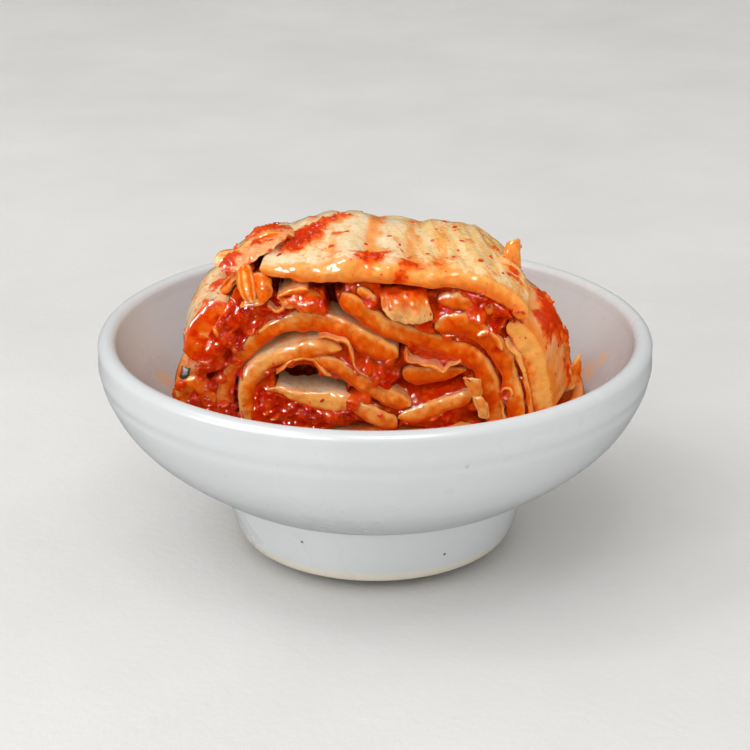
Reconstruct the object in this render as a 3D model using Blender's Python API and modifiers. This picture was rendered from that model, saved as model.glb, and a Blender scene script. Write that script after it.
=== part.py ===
"""Kimchi in a footed side-dish bowl.

A cut bundle of salted napa-cabbage leaves, folded over one another, stands in a
round glazed bowl. The leaves run from front to back (along Y), so each one is a
section line in the XZ plane, carried back as a sheet and thickened. Sizes in
the design are millimetres; the model is in metres, +Z up, with its origin under
the centre of the bowl's foot.
"""
import math

import bmesh
import bpy

MM = 0.001

# --- Bowl -------------------------------------------------------------------
RIM_RADIUS = 70.0
BOWL_HEIGHT = 54.4
LIP_RADIUS = 2.4
FOOT_RADIUS = 35.5
FOOT_INNER_RADIUS = 31.0
FOOT_EDGE = 0.6
RECESS_HEIGHT = 12.5
BOWL_SEGMENTS = 64
LIP_STEPS = 5
WALL_STEP = 5.5

OUTER_WALL = [(70.0, 50.8), (70.0, 46.4), (68.1, 40.4), (64.1, 33.4), (57.4, 26.4), (46.4, 18.3),
              (41.8, 17.1)]
FOOT_SIDE = [(40.6, 15.8), (38.5, 8.6), (36.3, 1.5)]
INNER_WALL = [(0.0, 22.0), (20.0, 22.3), (36.0, 24.0), (48.0, 28.5), (56.0, 35.0), (61.0, 42.0),
              (64.0, 48.0), (65.2, 51.2)]

# --- Bundle of leaves -------------------------------------------------------
FRONT = -25.0
BACK = 22.0
BED = 24.0
TOP = 78.0
WIDEN_RIGHT = 0.16
WIDEN_LEFT = 0.05
WIDEN_BELOW = 73.0
WIDEN_FULLY_BELOW = 60.0
CROWN = 1.4
BACK_DROOP = 1.6
SWELL_TURN = 0.86
CUT_ROUNDING = 0.9
EDGE_SHARE = 0.62
DEPTH_STEPS = 4
SPINE_STEP = 3.6
SPLINE_STEPS = 12

PALE = (0.86, 0.62, 0.40)
ORANGE = (0.78, 0.30, 0.08)
RED = (0.50, 0.04, 0.01)
GREEN = (0.03, 0.05, 0.02)
GLAZE = (0.80, 0.82, 0.82)

# name: section line (x, z), thickness, colour, and where it differs from the
# bundle: the front and back of the sheet, and how far it climbs on its way back.
LEAVES = {
    "leaf_top": dict(
        line=[(-26.6, 76.9), (-21, 76.8), (-15, 75.9), (-8, 76.3), (0, 75.8), (7, 75.3), (13, 74.3),
              (19, 74.4), (25, 73.2), (30, 70.4), (34, 67.4), (35.8, 65.6)],
        thickness=4.0, colour=PALE),
    "leaf_under_top": dict(
        line=[(14.6, 69.3), (18, 69.1), (22, 68.7), (25.4, 67.8), (28.4, 66.6)],
        thickness=3.1, colour=ORANGE, front=-24.5),
    "leaf_left": dict(
        line=[(-34.4, 68.4), (-38.2, 65.9), (-41.2, 62), (-42.4, 58.4), (-42.3, 54.6)],
        thickness=6.4, colour=ORANGE),
    "leaf_left_low": dict(
        line=[(-46.4, 46.2), (-43.9, 47.6), (-42, 45.6), (-41.6, 42.4), (-41.3, 39.6)],
        thickness=3.8, colour=RED),
    "leaf_arch_outer": dict(
        line=[(-36.4, 37), (-37, 41.5), (-36.8, 46.5), (-35, 51), (-31.8, 55.6), (-27.5, 60.2),
              (-22, 63.6), (-16, 64.5), (-10, 63.2), (-5, 60.5), (-1, 58), (3, 56), (5.8, 55.2)],
        thickness=3.8, colour=ORANGE, front=-24.6),
    "leaf_arch_inner": dict(
        line=[(-30.5, 37), (-31.2, 41.5), (-31.4, 46), (-30.1, 50.4), (-27.3, 53.6), (-23, 55.8),
              (-18, 57.3), (-12.5, 58.1), (-8, 57.9)],
        thickness=3.8, colour=PALE, front=-25.6),
    "leaf_diagonal": dict(
        line=[(-13.4, 54.4), (-9.8, 53.5), (-6, 51.0), (-2.5, 48.1), (1.5, 45.8), (6.5, 44.3)],
        thickness=3.8, colour=ORANGE),
    "leaf_low_left": dict(
        line=[(-26.8, 47.4), (-23, 46.8), (-18.5, 45.2), (-13.5, 44.1), (-10, 43.8), (-7.4, 43.4)],
        thickness=3.4, colour=PALE, front=-25.4),
    "leaf_low_mid": dict(
        line=[(-3.4, 42.2), (0, 40.3), (2.8, 38.8), (5, 37.6)],
        thickness=3.8, colour=ORANGE, front=-25.8),
    "leaf_low_right": dict(
        line=[(8.6, 39.3), (12.5, 40.9), (17, 42.3), (21.2, 43.6)],
        thickness=3.8, colour=ORANGE),
    "leaf_cradle": dict(
        line=[(6.8, 51), (9.2, 50), (12.5, 49.7), (16.5, 50.2), (20, 51.2), (21.6, 51.6)],
        thickness=3.0, colour=ORANGE, front=-24.2),
    "leaf_arch_right": dict(
        line=[(-7.9, 71.4), (-6.2, 69.1), (-2.5, 66.3), (2, 63), (6.5, 60.8), (11.5, 59.2), (16.5, 58.2),
              (21, 56.6), (24.3, 53.8), (26.6, 50), (28.0, 45.5), (29.4, 40.5), (29.8, 37)],
        thickness=4.4, colour=ORANGE),
    "leaf_strip": dict(
        line=[(-4.4, 72.5), (-2.4, 70.9), (0, 69.5)],
        thickness=2.0, colour=ORANGE, front=-25.6),
    "leaf_tongue": dict(
        line=[(2.4, 67.6), (5.2, 65.7), (8.6, 64.9), (11.6, 65.2)],
        thickness=1.6, colour=PALE, front=-27.4, back=-15.0, lift=4.4),
    "leaf_arch_small": dict(
        line=[(14.4, 62.9), (17.5, 64.1), (21.5, 64), (25, 61.9), (27.8, 58.9), (30.3, 55.4), (31.8, 51.5),
              (33, 47), (34.3, 42), (34.9, 37)],
        thickness=4.2, colour=ORANGE, front=-25.4),
    "leaf_sheet": dict(
        line=[(31.3, 60.1), (33.2, 57.3), (34.7, 53.9), (36.0, 49.9), (37.0, 46), (37.9, 41.5), (38.1, 38.5)],
        thickness=1.1, colour=PALE, front=-25.8),
    "leaf_right": dict(
        line=[(31.8, 63.6), (33.6, 61.9), (36, 59.2), (38.1, 55.6), (39.6, 51.6), (40.7, 47), (41.4, 43),
              (41.6, 40)],
        thickness=4.4, colour=PALE),
    "leaf_base": dict(
        line=[(-47.6, 42.2), (-45.2, 37), (-38, 31.4), (-28, 27.4), (-14, 25.2), (0, 24.6), (14, 25.2),
              (28, 27.4), (38, 31.4), (45.4, 36), (48.6, 41)],
        thickness=3.0, colour=ORANGE),
    "leaf_base_middle": dict(
        line=[(-30, 32.6), (-15, 29.8), (0, 29), (15, 29.8), (30, 32.6)],
        thickness=3.4, colour=ORANGE),
    "leaf_base_inner": dict(
        line=[(-25, 36), (-14, 34.2), (0, 33.4), (14, 34.2), (24.6, 35.8)],
        thickness=3.4, colour=ORANGE, front=-24.4),
    "leaf_shoulder": dict(
        line=[(-35.4, 73.0), (-32.8, 74.8), (-29.8, 76.8)],
        thickness=2.4, colour=ORANGE, front=-3.5),
    "leaf_membrane": dict(
        line=[(-37.6, 72.6), (-34.8, 76), (-30.6, 78.9), (-26, 80.4), (-20, 80.8), (-14, 79.9)],
        thickness=1.1, colour=PALE, front=-17.0, back=-5.0),
    "leaf_stem": dict(
        line=[(-31.6, 75.4), (-29.8, 72.8), (-28.2, 70.4)],
        thickness=3.6, colour=PALE, front=-27.0, back=-18.5),
    "leaf_crumple": dict(
        line=[(-22.8, 69.4), (-19.8, 70.8), (-16, 70.4), (-12.8, 68.7)],
        thickness=2.8, colour=RED, front=-26.4, back=-12.0),
    "leaf_curl": dict(
        line=[(23.0, 49.4), (23.1, 46.5), (23.8, 43)],
        thickness=1.6, colour=PALE, front=-27.0, back=-20.0),
    "scrap_right": dict(
        line=[(43.6, 48.4), (44.9, 44.8), (45.4, 41.0)],
        thickness=2.6, colour=RED, front=-9.0, back=3.0),
    "scrap_upright": dict(
        line=[(34.4, 75.8), (34.0, 73.6), (34.6, 71.9)],
        thickness=1.3, colour=PALE, front=3.0, back=11.0),
    "scrap_back_left": dict(
        line=[(-39.2, 72.6), (-36.8, 73.6)],
        thickness=2.4, colour=RED, front=-2.0, back=7.0),
    "leaf_green": dict(
        line=[(-46.0, 52.6), (-46.7, 49.8)],
        thickness=1.2, colour=GREEN, front=-23.0, back=-12.0),
}


def clear_scene():
    for old in list(bpy.data.objects):
        bpy.data.objects.remove(old, do_unlink=True)


def material(name, colour, roughness):
    mat = bpy.data.materials.new(name)
    mat.use_nodes = True
    shader = mat.node_tree.nodes["Principled BSDF"]
    shader.inputs["Base Color"].default_value = (*colour, 1.0)
    shader.inputs["Roughness"].default_value = roughness
    shader.inputs["Metallic"].default_value = 0.0
    return mat


def add_object(name, mesh, collection, mat):
    obj = bpy.data.objects.new(name, mesh)
    collection.objects.link(obj)
    mesh.materials.append(mat)
    mesh.shade_smooth()
    mesh.set_sharp_from_angle(angle=math.radians(40))
    return obj


def smooth_line(points):
    """Catmull-Rom line through the points."""
    before = (2 * points[0][0] - points[1][0], 2 * points[0][1] - points[1][1])
    after = (2 * points[-1][0] - points[-2][0], 2 * points[-1][1] - points[-2][1])
    run = [before, *points, after]
    line = []
    for a, b, c, d in zip(run, run[1:], run[2:], run[3:]):
        for step in range(SPLINE_STEPS):
            t = step / SPLINE_STEPS
            line.append(tuple(
                0.5 * (2 * q + (r - p) * t + (2 * p - 5 * q + 4 * r - s) * t * t
                       + (3 * q - p - 3 * r + s) * t ** 3)
                for p, q, r, s in zip(a, b, c, d)))
    return line + [points[-1]]


def even_line(points, step):
    """The smooth line through the points, divided into even stretches of about step."""
    line = smooth_line(points)
    along = [0.0]
    for a, b in zip(line, line[1:]):
        along.append(along[-1] + math.dist(a, b))
    count = max(2, round(along[-1] / step))
    result = []
    k = 0
    for i in range(count + 1):
        target = along[-1] * i / count
        while k < len(line) - 2 and along[k + 1] < target:
            k += 1
        share = (target - along[k]) / (along[k + 1] - along[k])
        result.append(tuple(p + (q - p) * share for p, q in zip(line[k], line[k + 1])))
    return result


def arc(centre, radius, start, end, steps):
    """Points on a circle from start to end, angles in degrees."""
    angles = [math.radians(start + (end - start) * i / steps) for i in range(steps + 1)]
    return [(centre[0] + radius * math.cos(a), centre[1] + radius * math.sin(a)) for a in angles]


def bowl_profile():
    """From the middle of the inside, over the lip and down to the middle underneath."""
    lip_centre = (RIM_RADIUS - LIP_RADIUS, BOWL_HEIGHT - LIP_RADIUS)
    lip = arc(lip_centre, LIP_RADIUS, 170, 0, LIP_STEPS)
    foot = [(FOOT_RADIUS + FOOT_EDGE / 2, FOOT_EDGE), (FOOT_RADIUS, 0.0), (FOOT_INNER_RADIUS, 0.0),
            (FOOT_INNER_RADIUS - FOOT_EDGE, FOOT_EDGE)]
    recess = [(FOOT_INNER_RADIUS - 2.4, RECESS_HEIGHT - 2.5), (FOOT_INNER_RADIUS - 5.0, RECESS_HEIGHT - 0.4),
              (0.0, RECESS_HEIGHT)]
    return (even_line(INNER_WALL, WALL_STEP) + lip + even_line(OUTER_WALL, WALL_STEP)[1:]
            + FOOT_SIDE + foot + recess)


def build_bowl(collection):
    mesh = bpy.data.meshes.new("bowl")
    points = [(r * MM, 0.0, z * MM) for r, z in bowl_profile()]
    edges = [(i, i + 1) for i in range(len(points) - 1)]
    mesh.from_pydata(points, edges, [])
    obj = add_object("bowl", mesh, collection, material("glaze", GLAZE, 0.22))
    turn = obj.modifiers.new("turn", "SCREW")
    turn.axis = "Z"
    turn.angle = math.tau
    turn.steps = BOWL_SEGMENTS
    turn.render_steps = BOWL_SEGMENTS
    turn.use_merge_vertices = True
    turn.merge_threshold = 0.00005
    return obj


def settle(x, y, z):
    """The bundle swells between its two cut ends, more to the right, and droops at the back."""
    depth = (y - FRONT) / (BACK - FRONT)
    swell = math.sin(math.pi * SWELL_TURN * min(max(depth, 0.0), 1.0))
    height = min(max((z - BED) / (TOP - BED), 0.0), 1.1)
    widen = WIDEN_RIGHT if x > 0 else WIDEN_LEFT
    widen *= min(max((WIDEN_BELOW - z) / (WIDEN_BELOW - WIDEN_FULLY_BELOW), 0.0), 1.0)
    lift = (CROWN * swell - BACK_DROOP * max(depth, 0.0) ** 6) * height
    return x * (1.0 + widen * swell), y, z + lift


def depth_stations(front, back):
    """Rows of the sheet from front to back, with a narrow row at each cut end."""
    inner_front = front + CUT_ROUNDING
    inner_back = back - CUT_ROUNDING
    inside = [inner_front + (inner_back - inner_front) * i / DEPTH_STEPS for i in range(DEPTH_STEPS + 1)]
    return [front, *inside, back]


def build_leaf(name, collection, line, thickness, colour, front=FRONT, back=BACK, lift=0.0):
    """A sheet over the section line, thickened evenly, with rounded edges all round."""
    spine = even_line(line, SPINE_STEP)
    stations = depth_stations(front, back)
    bm = bmesh.new()
    rows = []
    for y in stations:
        climb = lift * (y - front) / (back - front)
        rows.append([bm.verts.new([c * MM for c in settle(x, y, z + climb)]) for x, z in spine])
    for near, far in zip(rows, rows[1:]):
        for i in range(len(spine) - 1):
            bm.faces.new((near[i], near[i + 1], far[i + 1], far[i]))
    mesh = bpy.data.meshes.new(name)
    bm.to_mesh(mesh)
    bm.free()

    obj = add_object(name, mesh, collection, material(name, colour, 0.28))
    full = obj.vertex_groups.new(name="thickness")
    width = len(spine)
    for row in range(len(stations)):
        for i in range(width):
            at_edge = row in (0, len(stations) - 1) or i in (0, width - 1)
            full.add([row * width + i], EDGE_SHARE if at_edge else 1.0, "REPLACE")
    solidify = obj.modifiers.new("thickness", "SOLIDIFY")
    solidify.thickness = thickness * MM
    solidify.offset = 0.0
    solidify.use_even_offset = True
    solidify.vertex_group = "thickness"
    return obj


def main():
    clear_scene()
    collection = bpy.data.collections.new("kimchi_bowl")
    bpy.context.scene.collection.children.link(collection)
    build_bowl(collection)
    for name, design in LEAVES.items():
        build_leaf(name, collection, **design)


main()
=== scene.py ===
"""Kimchi in its footed bowl: the looks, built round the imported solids.

The leaves, the seasoning between them, the flakes and the bowl are all made here
as fine meshes. Shapes are worked out in millimetres with numpy and turned into
Blender meshes in metres. A leaf follows the same section line as its CAD solid:
the line lies in the XZ plane and the sheet runs along Y, from the cut end that
faces -Y to the cut end at the back.
"""
import math

import bpy
import numpy as np
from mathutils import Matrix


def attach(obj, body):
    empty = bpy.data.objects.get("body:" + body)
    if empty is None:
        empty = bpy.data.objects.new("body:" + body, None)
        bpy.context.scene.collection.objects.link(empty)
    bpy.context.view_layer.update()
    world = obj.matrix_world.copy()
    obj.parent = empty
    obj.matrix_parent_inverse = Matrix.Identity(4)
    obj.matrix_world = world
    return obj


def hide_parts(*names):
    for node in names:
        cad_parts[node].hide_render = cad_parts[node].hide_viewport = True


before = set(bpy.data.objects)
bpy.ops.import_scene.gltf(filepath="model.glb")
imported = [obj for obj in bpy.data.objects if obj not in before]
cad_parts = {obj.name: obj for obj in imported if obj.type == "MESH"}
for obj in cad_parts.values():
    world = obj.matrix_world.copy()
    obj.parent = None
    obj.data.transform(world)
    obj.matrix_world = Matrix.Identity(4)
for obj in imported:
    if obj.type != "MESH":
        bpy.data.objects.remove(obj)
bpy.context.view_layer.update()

MM = 0.001
# Each leaf's spine, half thickness and the places of its two cuts, for the sauce to lie against.
CUTS = []

# --- The bundle, as in the CAD ------------------------------------------------
FRONT = -25.0
BACK = 22.0
BED = 24.0
TOP = 78.0
WIDEN_RIGHT = 0.16
WIDEN_LEFT = 0.05
WIDEN_BELOW = 73.0
WIDEN_FULLY_BELOW = 60.0
CROWN = 1.4
BACK_DROOP = 1.6
SWELL_TURN = 0.86

# --- Colours (linear) -----------------------------------------------------------
SKIN = np.array([1.00, 0.78, 0.49])
SKIN_YELLOW = np.array([0.97, 0.60, 0.20])
SKIN_ORANGE = np.array([0.95, 0.25, 0.035])
SKIN_RUST = np.array([1.00, 0.33, 0.06])
CUT_LIGHT = np.array([0.95, 0.43, 0.10])
CUT_MID = np.array([0.85, 0.165, 0.007])
CUT_DEEP = np.array([0.70, 0.060, 0.001])
SAUCE = np.array([0.62, 0.014, 0.0006])
SAUCE_BRIGHT = np.array([0.92, 0.095, 0.002])
# Dark red painted into the sauce as shade, where it lies deep in the gaps and in the crevices.
PAINTED_SHADE_RED = np.array([0.20, 0.008, 0.001])
SAUCE_RELIEF = 0.75


def smoothstep(low, high, value):
    t = np.clip((value - low) / (high - low), 0.0, 1.0)
    return t * t * (3.0 - 2.0 * t)


def mix(a, b, t):
    return a + (b - a) * np.asarray(t)[..., None]


def noise(points, size, seed):
    """Smooth noise from -1 to 1 with a bump about every `size`, at (n, 3) points."""
    rng = np.random.default_rng(seed)
    table = rng.permutation(256)
    values = rng.uniform(-1.0, 1.0, 256)
    p = np.asarray(points) / np.asarray(size, float) + 71.3
    cell = np.floor(p).astype(np.int64)
    f = p - cell
    f = f * f * (3.0 - 2.0 * f)
    total = 0.0
    for dx in (0, 1):
        for dy in (0, 1):
            for dz in (0, 1):
                h = table[(cell[:, 0] + dx) & 255]
                h = table[(h + cell[:, 1] + dy) & 255]
                h = table[(h + cell[:, 2] + dz) & 255]
                weight = (np.where(dx, f[:, 0], 1 - f[:, 0]) * np.where(dy, f[:, 1], 1 - f[:, 1])
                          * np.where(dz, f[:, 2], 1 - f[:, 2]))
                total = total + weight * values[h]
    return total


def fractal(points, size, seed, octaves=3):
    size = np.asarray(size, float)
    total = 0.0
    for k in range(octaves):
        total = total + noise(points, size / 2 ** k, seed + k) / 2 ** k
    return total / 1.6


def settle(p):
    """The bundle swells between its two cut ends, more to the right, and droops at the back."""
    x, y, z = p[..., 0], p[..., 1], p[..., 2]
    depth = (y - FRONT) / (BACK - FRONT)
    swell = np.sin(math.pi * SWELL_TURN * np.clip(depth, 0, 1))
    height = np.clip((z - BED) / (TOP - BED), 0, 1.1)
    widen = np.where(x > 0, WIDEN_RIGHT, WIDEN_LEFT)
    widen = widen * np.clip((WIDEN_BELOW - z) / (WIDEN_BELOW - WIDEN_FULLY_BELOW), 0, 1)
    lift = (CROWN * swell - BACK_DROOP * np.clip(depth, 0, 1.2) ** 6) * height
    return np.stack([x * (1 + widen * swell), y, z + lift], -1)


def ripple(p):
    """The gentle unevenness that all the leaves share, so that neighbours stay apart."""
    flat = p.reshape(-1, 3)
    shift = np.stack([noise(flat, (13, 16, 11), 11), 0.5 * noise(flat, (9, 16, 9), 12),
                      noise(flat, (12, 18, 12), 13)], -1)
    small = np.stack([noise(flat, (5, 9, 5), 14), 0.0 * flat[:, 0], noise(flat, (5, 9, 5), 15)], -1)
    return p + (0.55 * shift + 0.2 * small).reshape(p.shape)


# --- Mesh building ---------------------------------------------------------------
def make_mesh(name, verts, faces, tint=None, smooth=True):
    """A mesh object from vertices in millimetres and one array of quads or triangles."""
    mesh = bpy.data.meshes.new(name)
    verts = np.asarray(verts, float).reshape(-1, 3) * MM
    faces = np.asarray(faces, np.int32)
    corners = faces.shape[1]
    mesh.vertices.add(len(verts))
    mesh.vertices.foreach_set("co", verts.ravel())
    mesh.loops.add(faces.size)
    mesh.loops.foreach_set("vertex_index", faces.ravel())
    mesh.polygons.add(len(faces))
    mesh.polygons.foreach_set("loop_start", np.arange(0, faces.size, corners, dtype=np.int32))
    mesh.update(calc_edges=True)
    mesh.validate()
    if smooth:
        mesh.shade_smooth()
    if tint is not None:
        colour = np.ones((len(verts), 4))
        colour[:, :3] = np.clip(np.asarray(tint).reshape(-1, 3), 0, 1)
        layer = mesh.color_attributes.new("tint", "FLOAT_COLOR", "POINT")
        layer.data.foreach_set("color", colour.ravel())
    obj = bpy.data.objects.new(name, mesh)
    bpy.context.scene.collection.objects.link(obj)
    return obj


def grid_faces(rows, columns, wrap_columns=False):
    """Quads over a rows x columns grid of vertices."""
    i = np.arange(rows - 1)[:, None]
    j = np.arange(columns if wrap_columns else columns - 1)[None, :]
    k = (j + 1) % columns
    a, b, c, d = i * columns + j, i * columns + k, (i + 1) * columns + k, (i + 1) * columns + j
    return np.stack([a, b, c, d], -1).reshape(-1, 4)


def smooth_line(points, steps=24):
    """Catmull-Rom line through the points."""
    pts = np.asarray(points, float)
    pts = np.vstack([2 * pts[0] - pts[1], pts, 2 * pts[-1] - pts[-2]])
    t = (np.arange(steps) / steps)[:, None]
    line = []
    for a, b, c, d in zip(pts, pts[1:], pts[2:], pts[3:]):
        line.append(0.5 * (2 * b + (c - a) * t + (2 * a - 5 * b + 4 * c - d) * t ** 2
                           + (3 * b - a - 3 * c + d) * t ** 3))
    return np.vstack(line + [pts[-2]])


def even_line(points, step):
    """The smooth line in stretches of about step, with the distance along it."""
    line = smooth_line(points)
    along = np.r_[0.0, np.cumsum(np.linalg.norm(np.diff(line, axis=0), axis=1))]
    count = max(4, int(round(along[-1] / step)))
    target = np.linspace(0, along[-1], count + 1)
    return np.stack([np.interp(target, along, line[:, k]) for k in range(line.shape[1])], -1), target


def growing_steps(length, first, growth, largest):
    """Distances from 0 to length whose spacing grows from first to largest."""
    steps = [0.0]
    size = first
    while steps[-1] < length:
        steps.append(steps[-1] + size)
        size = min(size * growth, largest)
    return np.array(steps) * length / steps[-1]


def sheet_section(front, back, fine_front, fine_back, step, cap):
    """Half of the loop round a sheet, from the middle of its back cut over its outer side to the
    middle of its front cut: (place along Y, share of half the thickness)."""
    turn = np.radians([6, 17, 28, 39, 50, 60, 70, 80])
    share = np.sin(turn) ** 0.8
    middle = (front + back) / 2
    room = middle - front - cap - 2 * step
    fine_front, fine_back = min(fine_front, room), min(fine_back, room)
    near = front + cap + np.r_[np.arange(0, fine_front, step),
                               fine_front + growing_steps(middle - front - cap - fine_front, step, 1.3, 2.6)]
    far = back - cap - np.r_[np.arange(0, fine_back, step),
                             fine_back + growing_steps(back - middle - cap - fine_back, step, 1.3, 2.6)]
    y = [back - cap * (1 - np.cos(turn)), far, near[-2::-1], front + cap * (1 - np.cos(turn[::-1]))]
    n = [share, np.ones(len(far)), np.ones(len(near) - 1), share[::-1]]
    return np.concatenate(y), np.concatenate(n)


def spread(values, count):
    """Values given at even shares of a line, at count places along it."""
    t = np.linspace(0, len(values) - 1, count)
    return np.interp(t, np.arange(len(values)), values)


def build_sheet(name, node, line, thickness, front=FRONT, back=BACK, lift=0.0, seed=0, step=0.4,
                fine_front=6.0, fine_back=3.0, relief=None, cut_wave=0.5, colour=None, material=None,
                thick=(1.0, 1.0), out=(0.0, 0.0), ends=(None, None), lean=(0, 0, 0, 0), cap=1.1, swell=0.20,
                ruffle=0.0, margins=1.0):
    """A fleshy leaf over the section line, closed, with rounded cut ends at the front and the back.

    thick scales the thickness and out pushes the front cut forward, both at even shares of the line.
    ends gives how long each end tapers, and lean moves the back corners: (dx, dz) at the line's
    start, then at its end."""
    spine, along = even_line(line, step)
    tangent = np.gradient(spine, axis=0)
    tangent /= np.linalg.norm(tangent, axis=1)[:, None]
    normal = np.stack([-tangent[:, 1], tangent[:, 0]], -1)
    length = along[-1]
    rows = len(along)
    place = np.c_[along, 0 * along, 0 * along]
    half = thickness / 2 * spread(thick, rows)
    half = half * (1 + swell * noise(place, (6.5, 1, 1), seed + 1) + 0.6 * swell * noise(place, (2.6, 1, 1), seed + 2))
    for from_end, reach in ((along, ends[0]), (length - along, ends[1])):
        share = np.clip(from_end / (reach or thickness / 2), 0.004, 1.0)
        half = half * (1 - (1 - share) ** 2) ** 0.5
    push = spread(out, rows) + 1.3 * cut_wave * noise(place, (7.0, 1, 1), seed + 3)
    push = push + 0.8 * cut_wave * noise(place, (2.2, 1, 1), seed + 4)

    y_half, n_half = sheet_section(front, back, fine_front, fine_back, step, min(cap, thickness * 0.45))
    y = np.r_[y_half, y_half[::-1]]
    n = np.r_[n_half, -n_half[::-1]]
    columns = len(y)
    u = np.repeat(along[:, None], columns, 1)
    v = np.repeat(y[None, :], rows, 0)
    side = np.repeat(n[None, :], rows, 0)
    flat = np.stack([u, v, side * thickness / 2], -1).reshape(-1, 3)
    from_cut = np.minimum(v - front, back - v)
    at_cut = smoothstep(cap * 1.3, cap * 0.3, from_cut)
    furrow = noise(flat, (3.4, 3.0, 1.1), seed + 5) + 0.5 * noise(flat, (1.1, 1.1, 0.7), seed + 8)
    furrow = furrow + 0.8 * noise(flat, (1.5, 1.3, 1.2), seed + 11)
    furrow = 0.24 * furrow.reshape(rows, columns) * at_cut
    facing = np.where(v < (front + back) / 2, -1.0, 1.0)
    slide = smoothstep(9.0, 0.0, from_cut)
    CUTS.append((spine, half, front - push, back + 0.5 * push))

    offset = side * half[:, None]
    bumps = np.zeros((rows, columns)) if relief is None else relief(u, v, side, length)
    bumps = bumps + 0.16 * fractal(flat, (2.4, 7.0, 3.0), seed + 6).reshape(rows, columns)
    bumps = bumps + 0.34 * noise(flat, (6.0, 10.0, 9.0), seed + 7).reshape(rows, columns)
    small = 0.22 * noise(flat, (2.1, 4.0, 9.0), seed + 10) + 0.14 * noise(flat, (1.5, 1.6, 9.0), seed + 12)
    bumps = bumps + small.reshape(rows, columns) * smoothstep(6.0, 1.0, from_cut)
    taper = np.clip(half / (thickness * 0.4), 0, 1)[:, None]
    offset = offset + bumps * margins * np.sign(side) * taper * np.abs(side) ** 3
    wave = noise(np.c_[along, 0 * along, 0 * along], (2.6, 1, 1), seed + 9) * ruffle
    offset = offset + wave[:, None] * smoothstep(8.0, 0.0, from_cut)
    v = v + facing * (np.where(facing < 0, push[:, None], 0.5 * push[:, None]) * slide + furrow)
    depth = (v - front) / (back - front)
    start = smoothstep(14.0, 0.0, u) * depth
    end = smoothstep(length - 14.0, length, u) * depth
    points = np.stack([spine[:, 0, None] + normal[:, 0, None] * offset + lean[0] * start + lean[2] * end, v,
                       spine[:, 1, None] + normal[:, 1, None] * offset + lift * depth
                       + lean[1] * start + lean[3] * end], -1)
    points = ripple(settle(points))

    faces = grid_faces(rows, columns, wrap_columns=True)
    i = np.arange(columns // 2 - 1)
    first = np.stack([i, columns - 1 - i, columns - 2 - i, i + 1], -1)
    last = (rows - 1) * columns + first[:, ::-1]
    faces = np.vstack([faces, first, last])
    if normal_faces_in(points.reshape(-1, 3), faces):
        faces = faces[:, ::-1]
    tint = colour(points, u, side, at_cut, length, seed)
    sauce = smoothstep(0.20, 0.09, tint[:, 1]).reshape(rows, columns) * (1 - at_cut)
    grain = 0.5 + 0.9 * noise(flat, (1.5, 1.5, 9.0), seed + 13) + 0.5 * noise(flat, (0.9, 0.8, 9.0), seed + 14)
    raised = SAUCE_RELIEF * sauce * grain.clip(0, 1.4).reshape(rows, columns) * np.sign(side)
    points[..., 0] += normal[:, 0, None] * raised
    points[..., 2] += normal[:, 1, None] * raised
    obj = make_mesh(name, points, faces, tint)
    obj.data.materials.append(material)
    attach(obj, "root")
    if node:
        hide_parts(node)
    return obj


def normal_faces_in(points, faces):
    """True where the closed mesh is inside out."""
    a, b, c = (points[faces[:, k]] for k in (0, 1, 2))
    d = points[faces[:, -1]]
    volume = np.einsum("ij,ij->i", a, np.cross(b, c)).sum() + np.einsum("ij,ij->i", a, np.cross(c, d)).sum()
    return volume < 0


# --- Materials ----------------------------------------------------------------
class Nodes:
    """A short way to write a material's node tree."""

    def __init__(self, name):
        self.material = bpy.data.materials.new(name)
        self.material.use_nodes = True
        self.tree = self.material.node_tree
        self.shader = self.tree.nodes["Principled BSDF"]

    def add(self, kind, inputs=None, **settings):
        node = self.tree.nodes.new("ShaderNode" + kind)
        for key, value in settings.items():
            setattr(node, key, value)
        for key, value in (inputs or {}).items():
            self.put(node.inputs[key], value)
        return node

    def put(self, socket, value):
        if isinstance(value, bpy.types.NodeSocket):
            self.tree.links.new(value, socket)
        else:
            socket.default_value = value

    def math(self, operation, a, b=0.0):
        node = self.add("Math", operation=operation)
        self.put(node.inputs[0], a)
        self.put(node.inputs[1], b)
        return node.outputs[0]

    def mix(self, factor, a, b, blend="MIX"):
        node = self.add("Mix", data_type="RGBA", blend_type=blend)
        self.put(node.inputs["Factor"], factor)
        self.put(node.inputs["A"], a)
        self.put(node.inputs["B"], b)
        return node.outputs["Result"]

    def ramp(self, factor, low, high, to_low=0.0, to_high=1.0):
        node = self.add("MapRange", {"Value": factor, "From Min": low, "From Max": high,
                                     "To Min": to_low, "To Max": to_high}, clamp=True)
        return node.outputs["Result"]

    def noise(self, scale, detail=3.0, stretch=(1, 1, 1), rough=0.55, offset=0.0):
        place = self.add("TexCoord").outputs["Object"]
        moved = self.add("Mapping", {"Vector": place, "Scale": stretch,
                                     "Location": (offset, offset, offset)}).outputs["Vector"]
        return self.add("TexNoise", {"Vector": moved, "Scale": scale, "Detail": detail,
                                     "Roughness": rough}).outputs["Fac"]

    def set(self, **values):
        for key, value in values.items():
            self.put(self.shader.inputs[key.replace("_", " ")], value)

    def bump(self, height, strength, distance, normal=None):
        inputs = {"Height": height, "Strength": strength, "Distance": distance}
        if normal is not None:
            inputs["Normal"] = normal
        return self.add("Bump", inputs).outputs["Normal"]


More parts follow.
